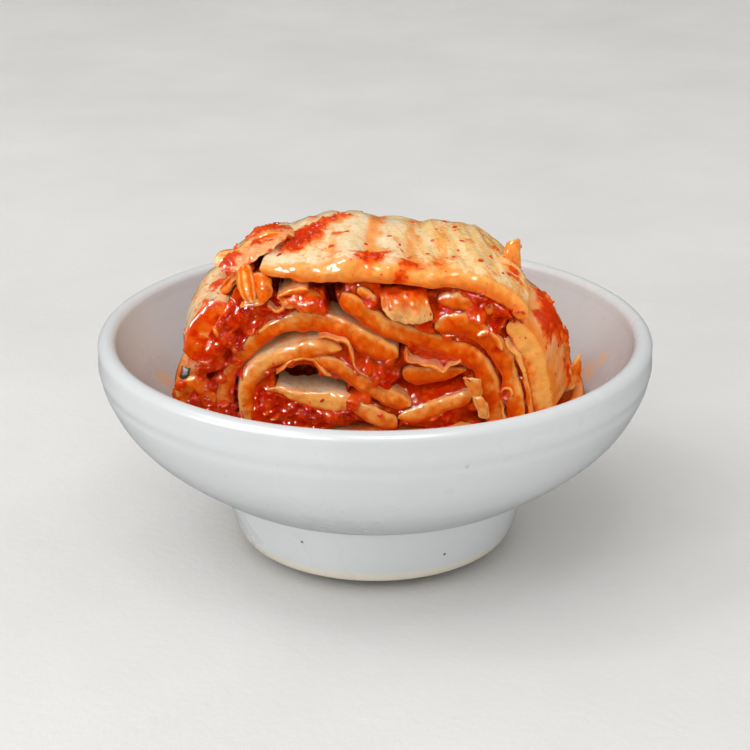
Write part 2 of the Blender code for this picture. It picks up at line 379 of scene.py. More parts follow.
def leaf_material():
    """Wet cabbage: colour from the mesh, broken up finely, with light passing under the skin and
    a film of juice over it."""
    m = Nodes("wet_leaf")
    tint = m.add("Attribute", attribute_name="tint").outputs["Color"]
    mottle = m.noise(620.0, 4.0, (1.0, 0.4, 1.0))
    specks = m.noise(1500.0, 2.0, (1.0, 0.7, 1.0), offset=0.3)
    grit = m.noise(620.0, 2.0, offset=0.9)
    darker = m.mix(m.ramp(mottle, 0.45, 0.72, 0.0, 0.30), tint, (0.90, 0.45, 0.10, 1.0), "MULTIPLY")
    colour = m.mix(m.ramp(specks, 0.66, 0.71, 0.0, 0.7), darker, (0.74, 0.07, 0.003, 1.0))
    wrinkle = m.noise(380.0, 3.0, (1.0, 0.25, 1.0), offset=0.7)
    normal = m.bump(wrinkle, 0.45, 0.0008)
    film = m.bump(grit, 0.5, 0.0003, m.bump(wrinkle, 0.25, 0.0006))
    m.set(Base_Color=colour, Roughness=0.5, Normal=normal, Coat_Normal=film)
    m.set(Subsurface_Weight=0.30, Subsurface_Scale=0.0016, Specular_IOR_Level=0.0)
    m.set(Coat_Weight=0.9, Coat_Roughness=0.06, Coat_IOR=1.38)
    m.shader.inputs["Subsurface Radius"].default_value = (1.0, 0.42, 0.12)
    return m.material


def sauce_material():
    """Wet chili paste: red, glossy and grainy, with coarse flakes of pepper in it."""
    m = Nodes("chili_paste")
    tint = m.add("Attribute", attribute_name="tint").outputs["Color"]
    coarse = m.noise(480.0, 3.0)
    fine = m.noise(1500.0, 3.0, offset=0.4)
    grit = m.noise(560.0, 2.5, offset=0.9)
    colour = m.mix(m.ramp(coarse, 0.48, 0.70, 0.0, 0.5), tint, (0.94, 0.15, 0.004, 1.0))
    colour = m.mix(m.ramp(fine, 0.58, 0.66, 0.0, 0.6), colour, (0.50, 0.010, 0.0008, 1.0))
    film = m.bump(grit, 0.5, 0.0004)
    m.set(Base_Color=colour, Roughness=0.4, Normal=m.bump(coarse, 0.5, 0.0010), Coat_Normal=film, Coat_IOR=1.42)
    m.set(Subsurface_Weight=0.20, Subsurface_Scale=0.0014, Specular_IOR_Level=0.0)
    m.set(Coat_Weight=1.0, Coat_Roughness=0.05)
    m.shader.inputs["Subsurface Radius"].default_value = (1.0, 0.25, 0.05)
    return m.material


LEAF_MATERIAL = leaf_material()
SAUCE_MATERIAL = sauce_material()


# --- Leaves ---------------------------------------------------------------------
def leaf_colour(cut=0.5, skin=0.3, red=0.1, yellow=0.3, spots=()):
    """How a leaf is coloured: cut and skin give how deeply its flesh and its surface are dyed,
    red how much sauce sticks to it, and spots are (x, z, radius, amount) of extra sauce at the
    front, or (x, z, radius, amount, y) anywhere."""
    def paint(points, u, side, at_face, length, seed):
        p = points.reshape(-1, 3)
        at_face, side = at_face.ravel(), side.ravel()
        broad = fractal(p, (8, 14, 8), seed + 20)
        streak = fractal(p, (2.4, 12, 2.4), seed + 21)
        fine = fractal(p, (1.1, 2.2, 1.1), seed + 22)
        bare = mix(SKIN, SKIN_YELLOW, np.clip(yellow + 0.5 * streak, 0, 1))
        near_cut = np.exp(-np.minimum(p[:, 1] - FRONT, BACK - p[:, 1]).clip(0) / 2.2)
        dye = np.clip(skin + 0.5 * broad + 0.4 * streak + 0.45 * near_cut - 0.1, 0, 1)
        surface = mix(bare, SKIN_ORANGE, dye)
        # Dye with painted light and shade: the cut flesh is paler towards the leaf's upper side and deeper red towards
        # its lower side.
        cut_dye_and_shade = cut - 0.1 + 0.55 * broad + 0.45 * fine + 0.3 * streak + 0.30 * (0.2 - side)
        cut_dye_and_shade = cut_dye_and_shade - 0.35 * smoothstep(0.45, 0.9, side) + 0.4 * smoothstep(-0.4, -0.95, side)
        cut_dye_and_shade = np.clip(cut_dye_and_shade, 0, 1)
        flesh = np.where(cut_dye_and_shade[:, None] < 0.5, mix(CUT_LIGHT, CUT_MID, cut_dye_and_shade * 2),
                         mix(CUT_MID, CUT_DEEP, cut_dye_and_shade * 2 - 1))
        colour = mix(surface, flesh, at_face)
        sauce = red + 0.55 * broad + 0.45 * fine - 0.55 + 0.2 * (np.abs(side) > 0.9) * at_face
        for x, z, radius, amount, *y in spots:
            distance = np.hypot(p[:, 0] - x, p[:, 2] - z) / radius
            near = np.exp(-((p[:, 1] - y[0]) / radius) ** 2) if y else (p[:, 1] < -10)
            sauce = sauce + amount * np.exp(-distance ** 2) * near
        tone = mix(SAUCE_BRIGHT, SAUCE, smoothstep(0.05, 0.6, sauce + 0.3 * fine))
        return mix(colour, tone, 0.9 * smoothstep(0.0, 0.22, sauce))
    return paint


# Sauce lying on the top leaf: x, y, z, radius, amount.
TOP_SPOTS = [(-20.5, -12, 79, 3.6, 1.0), (-18.5, -7, 80, 4.6, 1.1), (-16.8, -2, 80, 3.8, 1.1), (-14.5, 3, 80, 3.0, 1.0),
             (-11, 7, 80, 2.8, 0.9), (-7.6, 11, 80, 2.6, 0.8), (-22.5, -2, 79, 3.0, 0.8), (-0.6, -19.5, 79, 3.2, 1.2),
             (-2.4, -23.5, 78, 2.6, 0.7), (3.0, -16.0, 79, 2.0, 0.6), (8.4, -22.0, 78, 3.0, 1.0), (6.0, -25.5, 76, 1.8, 0.9),
             (18.2, -14.5, 79, 2.6, 0.7), (15.0, -20.0, 77, 2.0, 0.6), (19.5, 12, 80, 2.4, 1.0), (20.5, 7, 80, 2.0, 0.9),
             (34.4, -6, 72, 3.0, 1.0), (33.0, -12, 71, 2.4, 0.8), (31, 4, 75, 2.6, 0.8), (28.0, -18, 73, 2.2, 0.7),
             (35.6, 2, 70, 3.0, 0.9), (35.8, -14, 68, 2.0, 0.7), (24.0, 0, 78, 1.8, 0.5), (0.5, 9, 80, 2.2, 0.6),
             (-12.0, -14, 79, 1.6, 0.6), (-9.0, -4, 80, 1.8, 0.5)]


def ribs(u, v, side, length):
    """Long soft ribs on the left of the top leaf, fine folds on its right."""
    shape = 0.0
    for middle, width, height in ((5.5, 2.4, 0.6), (12.0, 2.6, 0.8), (20.5, 3.2, 1.0), (31.0, 3.4, 0.8),
                                  (39.5, 2.4, 0.6)):
        across = u - middle - 0.06 * (v - FRONT) - 0.5 * np.sin(v / 7.0)
        shape = shape + height * np.exp(-(across / width) ** 2)
    place = np.stack([u + 0.10 * v, v, 0 * u], -1).reshape(-1, 3)
    folds = fractal(place, (1.9, 16.0, 1.0), 771).reshape(u.shape)
    creases = noise(place, (3.4, 30.0, 1.0), 772).reshape(u.shape)
    right = smoothstep(34, 48, u)
    return (shape + right * (0.45 * folds + 0.5 * creases) + (1 - right) * 0.1 * folds) * (side > 0)


def top_colour(points, u, side, at_face, length, seed):
    """Cream ribs with orange in the hollows, veins near the front, and sauce where the spots are."""
    p = points.reshape(-1, 3)
    y = p[:, 1]
    along, side, at_face = u.ravel(), side.ravel(), at_face.ravel()
    streak = fractal(np.c_[along + 0.1 * y, y, 0 * y], (1.5, 10, 1), seed + 31, 4)
    broad = fractal(p, (8, 13, 8), seed + 32)
    fine = fractal(p, (1.0, 1.8, 1.0), seed + 33)
    right = smoothstep(26, 44, along)
    surface = mix(SKIN, SKIN_YELLOW, np.clip(0.15 + 0.55 * right + 0.6 * streak, 0, 1))
    tone = 0.0
    for middle, width, depth in ((9.0, 1.8, 0.6), (16.2, 1.6, 0.55), (25.8, 2.3, 1.3), (35.6, 2.2, 0.85),
                                 (43.0, 1.6, 0.7)):
        tone = tone + depth * np.exp(-((along - middle - 0.05 * (y - FRONT) - 1.2 * broad) / width) ** 2)
    vein = smoothstep(0.09, 0.0, np.abs(fractal(p, (3.4, 3.0, 3.4), seed + 34)))
    vein = vein * smoothstep(-6.0, -17.0, y + 4 * broad)
    crease = smoothstep(0.16, 0.0, np.abs(streak)) * right
    edge = smoothstep(-20.5, -25.0, y + 2.0 * fine) * 0.75 + smoothstep(52, 62, along) * 0.3
    tone = tone + edge + 0.55 * vein + 0.6 * crease + 0.45 * broad + 0.35 * streak * (0.5 + right) - 0.12
    surface = mix(surface, SKIN_RUST, 0.9 * smoothstep(0.05, 0.95, tone))
    # Dye with painted light and shade: the cut flesh is paler towards the leaf's upper side and deeper red towards its
    # lower side.
    flesh_dye_and_shade = np.clip(0.30 + 0.35 * broad + 0.25 * fine - 0.35 * side, 0, 1)
    flesh = np.where(flesh_dye_and_shade[:, None] < 0.5, mix(CUT_LIGHT, CUT_MID, flesh_dye_and_shade * 2),
                     mix(CUT_MID, CUT_DEEP, flesh_dye_and_shade * 2 - 1))
    colour = mix(surface, flesh, at_face)
    sauce = -0.50 + 0.5 * fine + 0.3 * broad + 0.35 * smoothstep(0.1, -0.9, side)
    for x, yy, z, radius, amount in TOP_SPOTS:
        distance = np.linalg.norm((p - (x, yy, z)) / radius, axis=1)
        sauce = sauce + 1.1 * amount * np.exp(-distance ** 2)
    colour = mix(colour, SKIN_ORANGE, 0.8 * smoothstep(-0.45, 0.0, sauce))
    film = mix(SAUCE_BRIGHT, SAUCE, smoothstep(0.05, 0.6, sauce + 0.3 * fine))
    return mix(colour, film, 0.92 * smoothstep(-0.02, 0.22, sauce))


LEAVES = {
    "leaf_top": dict(
        line=[(-27.0, 77.9), (-24.2, 76.6), (-20, 76.3), (-15, 75.9), (-8, 76.3), (0, 75.8), (7, 75.3), (13, 74.3),
              (19, 74.4), (25, 73.2), (30, 70.4), (34, 67.4), (35.8, 65.6)],
        thickness=4.2, fine_front=22.0, fine_back=22.0, relief=ribs, thick=(0.62, 0.75, 1.0, 1.1, 1.15, 0.85, 0.8, 1.0, 1.1, 1.0, 1.15), out=(0.5, 0.2, 0.4, 0.8, 1.2, 0.9, 0.6, 0.8, 1.2, 1.8), lean=(2.5, -2.5, -3.5, 1.0), cap=1.7, colour=top_colour),
    "leaf_under_top": dict(
        line=[(14.6, 69.3), (18, 69.1), (22, 68.7), (25.4, 67.8), (28.4, 66.6)],
        thickness=3.6, front=-24.5, thick=(0.7, 1.0, 1.0, 1.1, 0.9), out=(0.2, 0.8, 0.4), colour=leaf_colour(0.5, 0.5, 0.35)),
    "leaf_left": dict(
        line=[(-34.0, 68.0), (-37.4, 65.4), (-40.4, 61.8), (-41.8, 58.2), (-41.8, 54.4)],
        thickness=7.4, fine_front=22.0, fine_back=22.0, thick=(0.9, 1.05, 1.1, 1.0, 0.95), out=(0.0, 1.0, 1.6, 1.8), cap=1.7, lean=(3.0, -4.5, 4.0, 0.0), colour=leaf_colour(
            0.55, 0.16, 0.26, 0.3, [(-37.0, 64.5, 3.2, 0.7), (-40.5, 59.5, 1.6, 0.9), (-38.6, 55.2, 3.4, 1.0),
                                    (-43.0, 61.5, 1.2, 0.8), (-42.5, 54.0, 2.4, 0.9), (-45.5, 55.5, 2.6, 1.3, -18), (-45.8, 52.5, 3.0, 1.4, -20),
                                    (-45.0, 51.6, 3.0, 1.4, -14), (-46.0, 58.5, 1.8, 1.1, -22),
                                    (-45.4, 54.0, 3.0, 1.2, -10), (-45.6, 56.0, 2.2, 1.1, 2),
                                    (-45.4, 54.5, 3.0, 1.2, 12), (-38.5, 66.5, 2.4, 1.2, -8),
                                    (-37.0, 67.5, 2.6, 1.2, 6), (-40.0, 65.0, 1.8, 1.1, 15)])),
    "leaf_left_low": dict(
        line=[(-47.0, 43.6), (-45.8, 47.2), (-43.2, 48.4), (-41.2, 46.2), (-40.8, 42)],
        thickness=4.6, out=(0.6, 1.2, 0.4), lift=-9.0, lean=(4.0, 0, 0, 0), fine_front=14.0, colour=leaf_colour(0.72, 0.85, 0.62)),
    "leaf_arch_outer": dict(
        line=[(-36.4, 37), (-37, 41.5), (-36.8, 46.5), (-35, 51), (-31.8, 55.6), (-27.5, 60.2),
              (-22, 63.6), (-16, 64.5), (-10, 63.2), (-5, 60.5), (-1, 58), (3, 56), (5.8, 55.2)],
        thickness=4.5, front=-24.6, fine_front=12.0, thick=(0.8, 0.9, 0.9, 0.8, 0.9, 0.9, 1.0, 1.1, 1.05, 1.0, 1.05, 1.15, 1.1), out=(0.3, 0.5, -0.6, -1.0, -0.4, 0.0, 0.2, 0.3, 0.2, 0.0, 0.0, 0.2, 0.3), colour=leaf_colour(
            0.60, 0.25, 0.17, 0.3, [(-34.0, 54.0, 3.0, 0.5), (-36.5, 45.0, 3.0, 0.5), (-8.0, 62.0, 2.0, 0.2)])),
    "leaf_arch_inner": dict(
        line=[(-30.5, 37), (-31.2, 41.5), (-31.4, 46), (-30.1, 50.4), (-27.3, 53.6), (-23, 55.8),
              (-18, 57.3), (-12.5, 58.1), (-8, 57.9)],
        thickness=4.2, front=-25.6, fine_front=12.0, thick=(0.85, 0.8, 1.05, 1.05, 1.0, 1.0, 1.05, 1.0, 0.75), out=(0.4, 0.8, 1.0, 0.6, 0.5, 0.8, 0.6, 0.4, 0.2), ends=(None, 6.0), colour=leaf_colour(0.26, 0.08, 0.0, 0.15)),
    "leaf_diagonal": dict(
        line=[(-14.8, 55.6), (-11.4, 54.3), (-8.2, 52.9), (-5.2, 50.2), (-2.5, 48.1), (1.5, 45.6), (5.5, 43.9),
              (9.0, 43.0)],
        thickness=4.2, thick=(0.5, 0.7, 0.9, 1.0, 1.1, 1.0, 1.05, 0.8), out=(0.2, 0.4, 0.9, 1.2, 0.8, 0.4, 0.2), ends=(4.0, 4.0), colour=leaf_colour(0.45, 0.45, 0.12)),
    "leaf_low_left": dict(
        line=[(-26.8, 47.4), (-23, 46.8), (-18.5, 45.2), (-13.5, 44.1), (-10, 43.8), (-6.6, 43.2), (-3.8, 42.2)],
        thickness=3.9, front=-25.4, fine_front=14.0, thick=(0.5, 0.8, 1.0, 1.1, 1.15, 1.1, 0.8), out=(0.0, 0.5, 1.0, 1.2, 0.8), ends=(6.0, None), colour=leaf_colour(0.32, 0.05, 0.0, 0.15)),
    "leaf_low_mid": dict(
        line=[(-8.0, 42.9), (-4.6, 42.0), (-1.0, 40.6), (2.4, 38.9), (5.4, 37.4)],
        thickness=4.2, front=-25.8, thick=(0.5, 0.9, 1.0, 1.05, 1.0), out=(-1.5, 0.3, 0.8, 0.4), ends=(4.0, None), colour=leaf_colour(0.42, 0.4, 0.10)),
    "leaf_low_right": dict(
        line=[(5.6, 39.2), (9.0, 39.9), (12.8, 41.3), (16.6, 42.6), (20.4, 43.6), (23.6, 44.3)],
        thickness=4.0, thick=(0.7, 1.0, 1.05, 1.05, 1.0, 0.9), out=(0.0, 0.9, 1.3, 1.5, 1.2, 0.6), ends=(4.0, None), colour=leaf_colour(0.3, 0.25, 0.0)),
    "leaf_cradle": dict(
        line=[(6.8, 51), (9.2, 50), (12.5, 49.7), (16.5, 50.2), (20, 51.2), (21.6, 51.6)],
        thickness=3.8, front=-24.2, thick=(0.8, 1.1, 1.1, 0.9, 0.5), ends=(None, 5.0), colour=leaf_colour(0.66, 0.5, 0.16)),
    "leaf_arch_right": dict(
        line=[(-7.9, 71.4), (-6.2, 69.1), (-2.5, 66.3), (2, 63), (6.5, 60.8), (11.5, 59.2), (16.5, 58.2),
              (21, 56.6), (24.3, 53.8), (26.6, 50), (28.0, 45.5), (29.4, 40.5), (29.8, 37)],
        thickness=4.7, thick=(0.8, 1.0, 1.05, 1.0, 1.05, 0.95, 0.9, 1.0, 1.1, 1.15, 1.0, 0.95, 0.9), out=(0.8, 0.7, 0.6, 0.3, 0.2, 0.0, 0.0, 0.2, 0.5, 0.6, 0.4, 0.2, 0.0), colour=leaf_colour(0.58, 0.4, 0.15)),
    "leaf_strip": dict(
        line=[(-4.4, 72.5), (-2.4, 70.9), (0, 69.5)],
        thickness=2.4, front=-25.6, thick=(0.8, 1.0, 0.6), colour=leaf_colour(0.35, 0.3, 0.0)),
    "leaf_arch_small": dict(
        line=[(14.4, 62.9), (17.5, 64.1), (21.5, 64), (25, 61.9), (27.8, 58.9), (30.3, 55.4), (31.8, 51.5),
              (33, 47), (34.3, 42), (34.9, 37)],
        thickness=4.7, front=-25.4, thick=(0.9, 1.0, 0.95, 1.05, 1.1, 1.0, 0.8, 1.1, 0.95, 0.9), out=(0.8, 1.0, 0.6, 0.3, 0.6, 0.5, 0.0, 0.4, 0.2, 0.0), colour=leaf_colour(
            0.62, 0.45, 0.16, 0.3, [(29.0, 57.5, 1.6, 0.9), (17.0, 65.0, 3.0, 0.5), (24.5, 64.0, 2.4, 0.4)])),
    "leaf_sheet": dict(
        line=[(31.3, 60.1), (33.2, 57.3), (34.7, 53.9), (36.0, 49.9), (37.0, 46), (37.9, 41.5), (38.1, 38.5)],
        thickness=1.4, front=-26.2, cap=0.6, ruffle=0.9, colour=leaf_colour(0.12, 0.15, 0.0)),
    "leaf_right": dict(
        line=[(31.6, 63.6), (33.2, 61.8), (35.4, 58.8), (37.3, 55.2), (38.8, 51.2), (40.0, 46.8), (40.8, 43),
              (41.2, 40)],
        thickness=5.3, fine_front=22.0, fine_back=22.0, thick=(0.8, 0.95, 1.0, 1.05, 1.1, 1.0, 0.95, 0.9), out=(-0.4, -0.2, 0.2, 0.5, 0.4, 0.2, 0.0), colour=leaf_colour(
            0.12, 0.92, 0.36, 0.5, [(40.5, 59.0, 3.0, 1.4, -16), (42.0, 58.5, 3.4, 1.4, -9), (44.0, 56.5, 2.6, 1.2, -4),
                                    (41.0, 61.0, 3.0, 1.3, 2), (42.5, 50.0, 2.4, 1.0, -15), (43.0, 54.0, 3.0, 1.2, -10), (43.6, 60.0, 3.0, 1.3, -5), (47.0, 54.0, 3.2, 1.1, -1),
                                    (46.0, 47.0, 3.0, 1.0, -10), (40.0, 61.5, 2.6, 1.2, -14), (49.0, 48.0, 3.6, 1.1, 5),
                                    (45.5, 60.5, 3.4, 1.1, 8), (48.0, 55.0, 3.4, 1.0, 13)])),
    "leaf_base": dict(
        line=[(-47.6, 42.2), (-45.2, 37), (-38, 31.4), (-28, 27.4), (-14, 25.2), (0, 24.6), (14, 25.2),
              (28, 27.4), (38, 31.4), (43.5, 35), (45.8, 38)],
        thickness=3.0, step=0.9, colour=leaf_colour(0.7, 1.0, 0.55)),
    "leaf_base_middle": dict(
        line=[(-30, 32.6), (-15, 29.8), (0, 29), (15, 29.8), (30, 32.6)],
        thickness=3.4, step=0.9, colour=leaf_colour(0.7, 0.7, 0.3)),
    "leaf_base_inner": dict(
        line=[(-25, 36), (-14, 34.2), (0, 33.4), (14, 34.2), (24.6, 35.8)],
        thickness=3.4, front=-24.4, step=0.9, colour=leaf_colour(0.7, 0.7, 0.3)),
    "leaf_shoulder": dict(
        line=[(-36.0, 72.0), (-33.2, 74.6), (-29.0, 77.0), (-24.6, 78.4), (-20.0, 78.6)],
        thickness=2.2, front=-6.0, fine_front=14.0, fine_back=14.0, ends=(3.0, 3.0), lift=-5.5, colour=leaf_colour(
            0.5, 0.6, 0.15, 0.3, [(-29.0, 77.0, 3.0, 0.9, 0.0), (-24.0, 79.0, 4.0, 0.9, 2.0), (-33.0, 73.0, 3.0, 1.2, -3.0),
                                  (-34.0, 71.5, 3.0, 1.1, 6.0), (-30.0, 73.0, 3.4, 1.1, 15.0)])),
}


# Thin sheets that stand for no solid of their own: curls and frills along the leaves' edges.
FRILLS = [
    dict(line=[(-25.4, 69.2), (-23.5, 67.9), (-21.7, 68.6), (-21.7, 70.4), (-22.8, 71.4), (-21.2, 72.3), (-18.4, 72.7),
               (-15.9, 72.9)],
         thickness=1.2, front=-26.6, back=-14.0, thick=(0.5, 0.6, 0.6, 0.6, 0.7, 1.2, 1.5, 1.5), ends=(None, 2.5),
         colour=leaf_colour(0.5, 0.5, 0.05)),
    dict(line=[(-13.5, 61.2), (-8.6, 60.7), (-6.2, 58.4), (-5.2, 56.2), (-4.0, 53.0), (-1.6, 50.8)],
         thickness=0.8, front=-26.9, back=-17.0, ruffle=1.1, ends=(4.0, 3.0), colour=leaf_colour(0.4, 0.45, 0.0)),
    dict(line=[(-24.0, 52.4), (-21.5, 53.8), (-18.5, 54.9), (-14.9, 55.2), (-12.8, 53.2), (-10.2, 51.4)],
         thickness=0.8, front=-26.2, back=-18.0, ruffle=1.1, ends=(3.0, 3.0), colour=leaf_colour(0.5, 0.5, 0.15)),
    dict(line=[(7.6, 57.0), (8.6, 54.8), (10.8, 53.4), (14.0, 52.9), (16.4, 51.6), (17.9, 53.6), (20.6, 55.0)],
         thickness=0.8, front=-26.6, back=-18.0, ruffle=1.2, ends=(2.0, 2.0), colour=leaf_colour(0.45, 0.45, 0.05)),
    dict(line=[(30.5, 46.2), (31.2, 47.4), (32.6, 47.2), (33.0, 45.8), (32.0, 44.6), (30.7, 44.8)],
         thickness=0.7, front=-26.4, back=-20.0, colour=leaf_colour(0.5, 0.5, 0.0)),
    dict(line=[(30.6, 43.8), (31.4, 42.2), (31.2, 40.4), (32.2, 38.6)],
         thickness=1.0, front=-25.6, back=-19.0, ruffle=0.8, colour=leaf_colour(0.5, 0.5, 0.1)),
    dict(line=[(24.2, 61.6), (26.6, 62.4), (28.6, 60.6), (30.0, 57.8)],
         thickness=1.0, front=-27.0, back=-20.0, ruffle=0.5, ends=(2.0, 3.0), colour=leaf_colour(0.3, 0.35, 0.0)),
]


def build_leaves():
    for order, (node, design) in enumerate(LEAVES.items()):
        build_sheet("fine_" + node, node, material=LEAF_MATERIAL, seed=100 * order, **design)
    count = len(CUTS)
    for order, design in enumerate(FRILLS):
        build_sheet(f"fine_frill_{order}", None, material=LEAF_MATERIAL, seed=5000 + 100 * order, step=0.28,
                    fine_front=4.0, fine_back=1.0, cap=0.4, **design)
    del CUTS[count:]


# --- Draped and curled pieces ---------------------------------------------------
def dye(bare=0.3, red=0.2, rim=0.0, stripes=0.0):
    """Colour of a thin piece: bare is how pale it is, red how much sauce clings, rim pales the edge."""
    def paint(p, s, t, seed):
        broad, fine = fractal(p, (5, 5, 5), seed + 1), fractal(p, (1.0, 1.0, 1.0), seed + 2)
        edge = np.minimum(np.minimum(s, 1 - s), np.minimum(t, 1 - t))
        tone = np.clip(1 - bare + 0.5 * broad + 0.25 * fine - rim * smoothstep(0.12, 0.0, edge), 0, 1)
        tone = np.clip(tone + stripes * np.sin(s * 22 + 2.0 * broad), 0, 1)
        colour = np.where(tone[:, None] < 0.5, mix(SKIN, CUT_LIGHT, tone * 2), mix(CUT_LIGHT, CUT_MID, tone * 2 - 1))
        sauce = red + 0.6 * broad + 0.5 * fine - 0.5
        return mix(colour, mix(SAUCE_BRIGHT, SAUCE, smoothstep(0.1, 0.7, sauce)), 0.85 * smoothstep(0.0, 0.3, sauce))
    return paint


def veil(p, s, t, seed):
    """Colour of the thin skin draped over the left shoulder: pinkish, with sauce showing through."""
    broad, fine = fractal(p, (4, 4, 4), seed + 1), fractal(p, (1.0, 1.6, 1.0), seed + 2)
    colour = mix(np.array([0.96, 0.48, 0.22]), np.array([0.88, 0.15, 0.02]), np.clip(0.35 + 0.7 * broad + 0.4 * fine, 0, 1))
    sauce = 0.9 * broad + 0.5 * fine - 0.22 + 0.8 * smoothstep(0.35, 0.0, s) + 0.5 * smoothstep(0.25, 0.0, t)
    return mix(colour, mix(SAUCE_BRIGHT, SAUCE, smoothstep(0.1, 0.6, sauce)), 0.85 * smoothstep(0.0, 0.3, sauce))


def flap(p, s, t, seed):
    """Colour of the folded bit of leaf under the top one: red above, golden where it hangs."""
    broad, fine = fractal(p, (4, 4, 4), seed + 1), fractal(p, (0.9, 0.9, 1.8), seed + 2)
    gold = smoothstep(0.30, 0.75, t + 0.25 * broad)
    colour = mix(CUT_MID, np.array([0.98, 0.56, 0.20]), np.clip(gold + 0.35 * fine, 0, 1))
    sauce = 0.5 * broad + 0.6 * fine - 0.35 + 0.9 * smoothstep(0.45, 0.1, t)
    return mix(colour, mix(SAUCE_BRIGHT, SAUCE, smoothstep(0.1, 0.7, sauce)), 0.85 * smoothstep(0.0, 0.3, sauce))


def green(p, s, t, seed):
    """Colour of the dark green tip of an outer leaf, filmed with sauce."""
    tone = smoothstep(-0.1, 0.7, fractal(p, (1.4, 1.4, 1.4), seed + 1))
    return mix(np.array([0.030, 0.055, 0.018]), np.array([0.30, 0.035, 0.010]), 0.8 * tone)


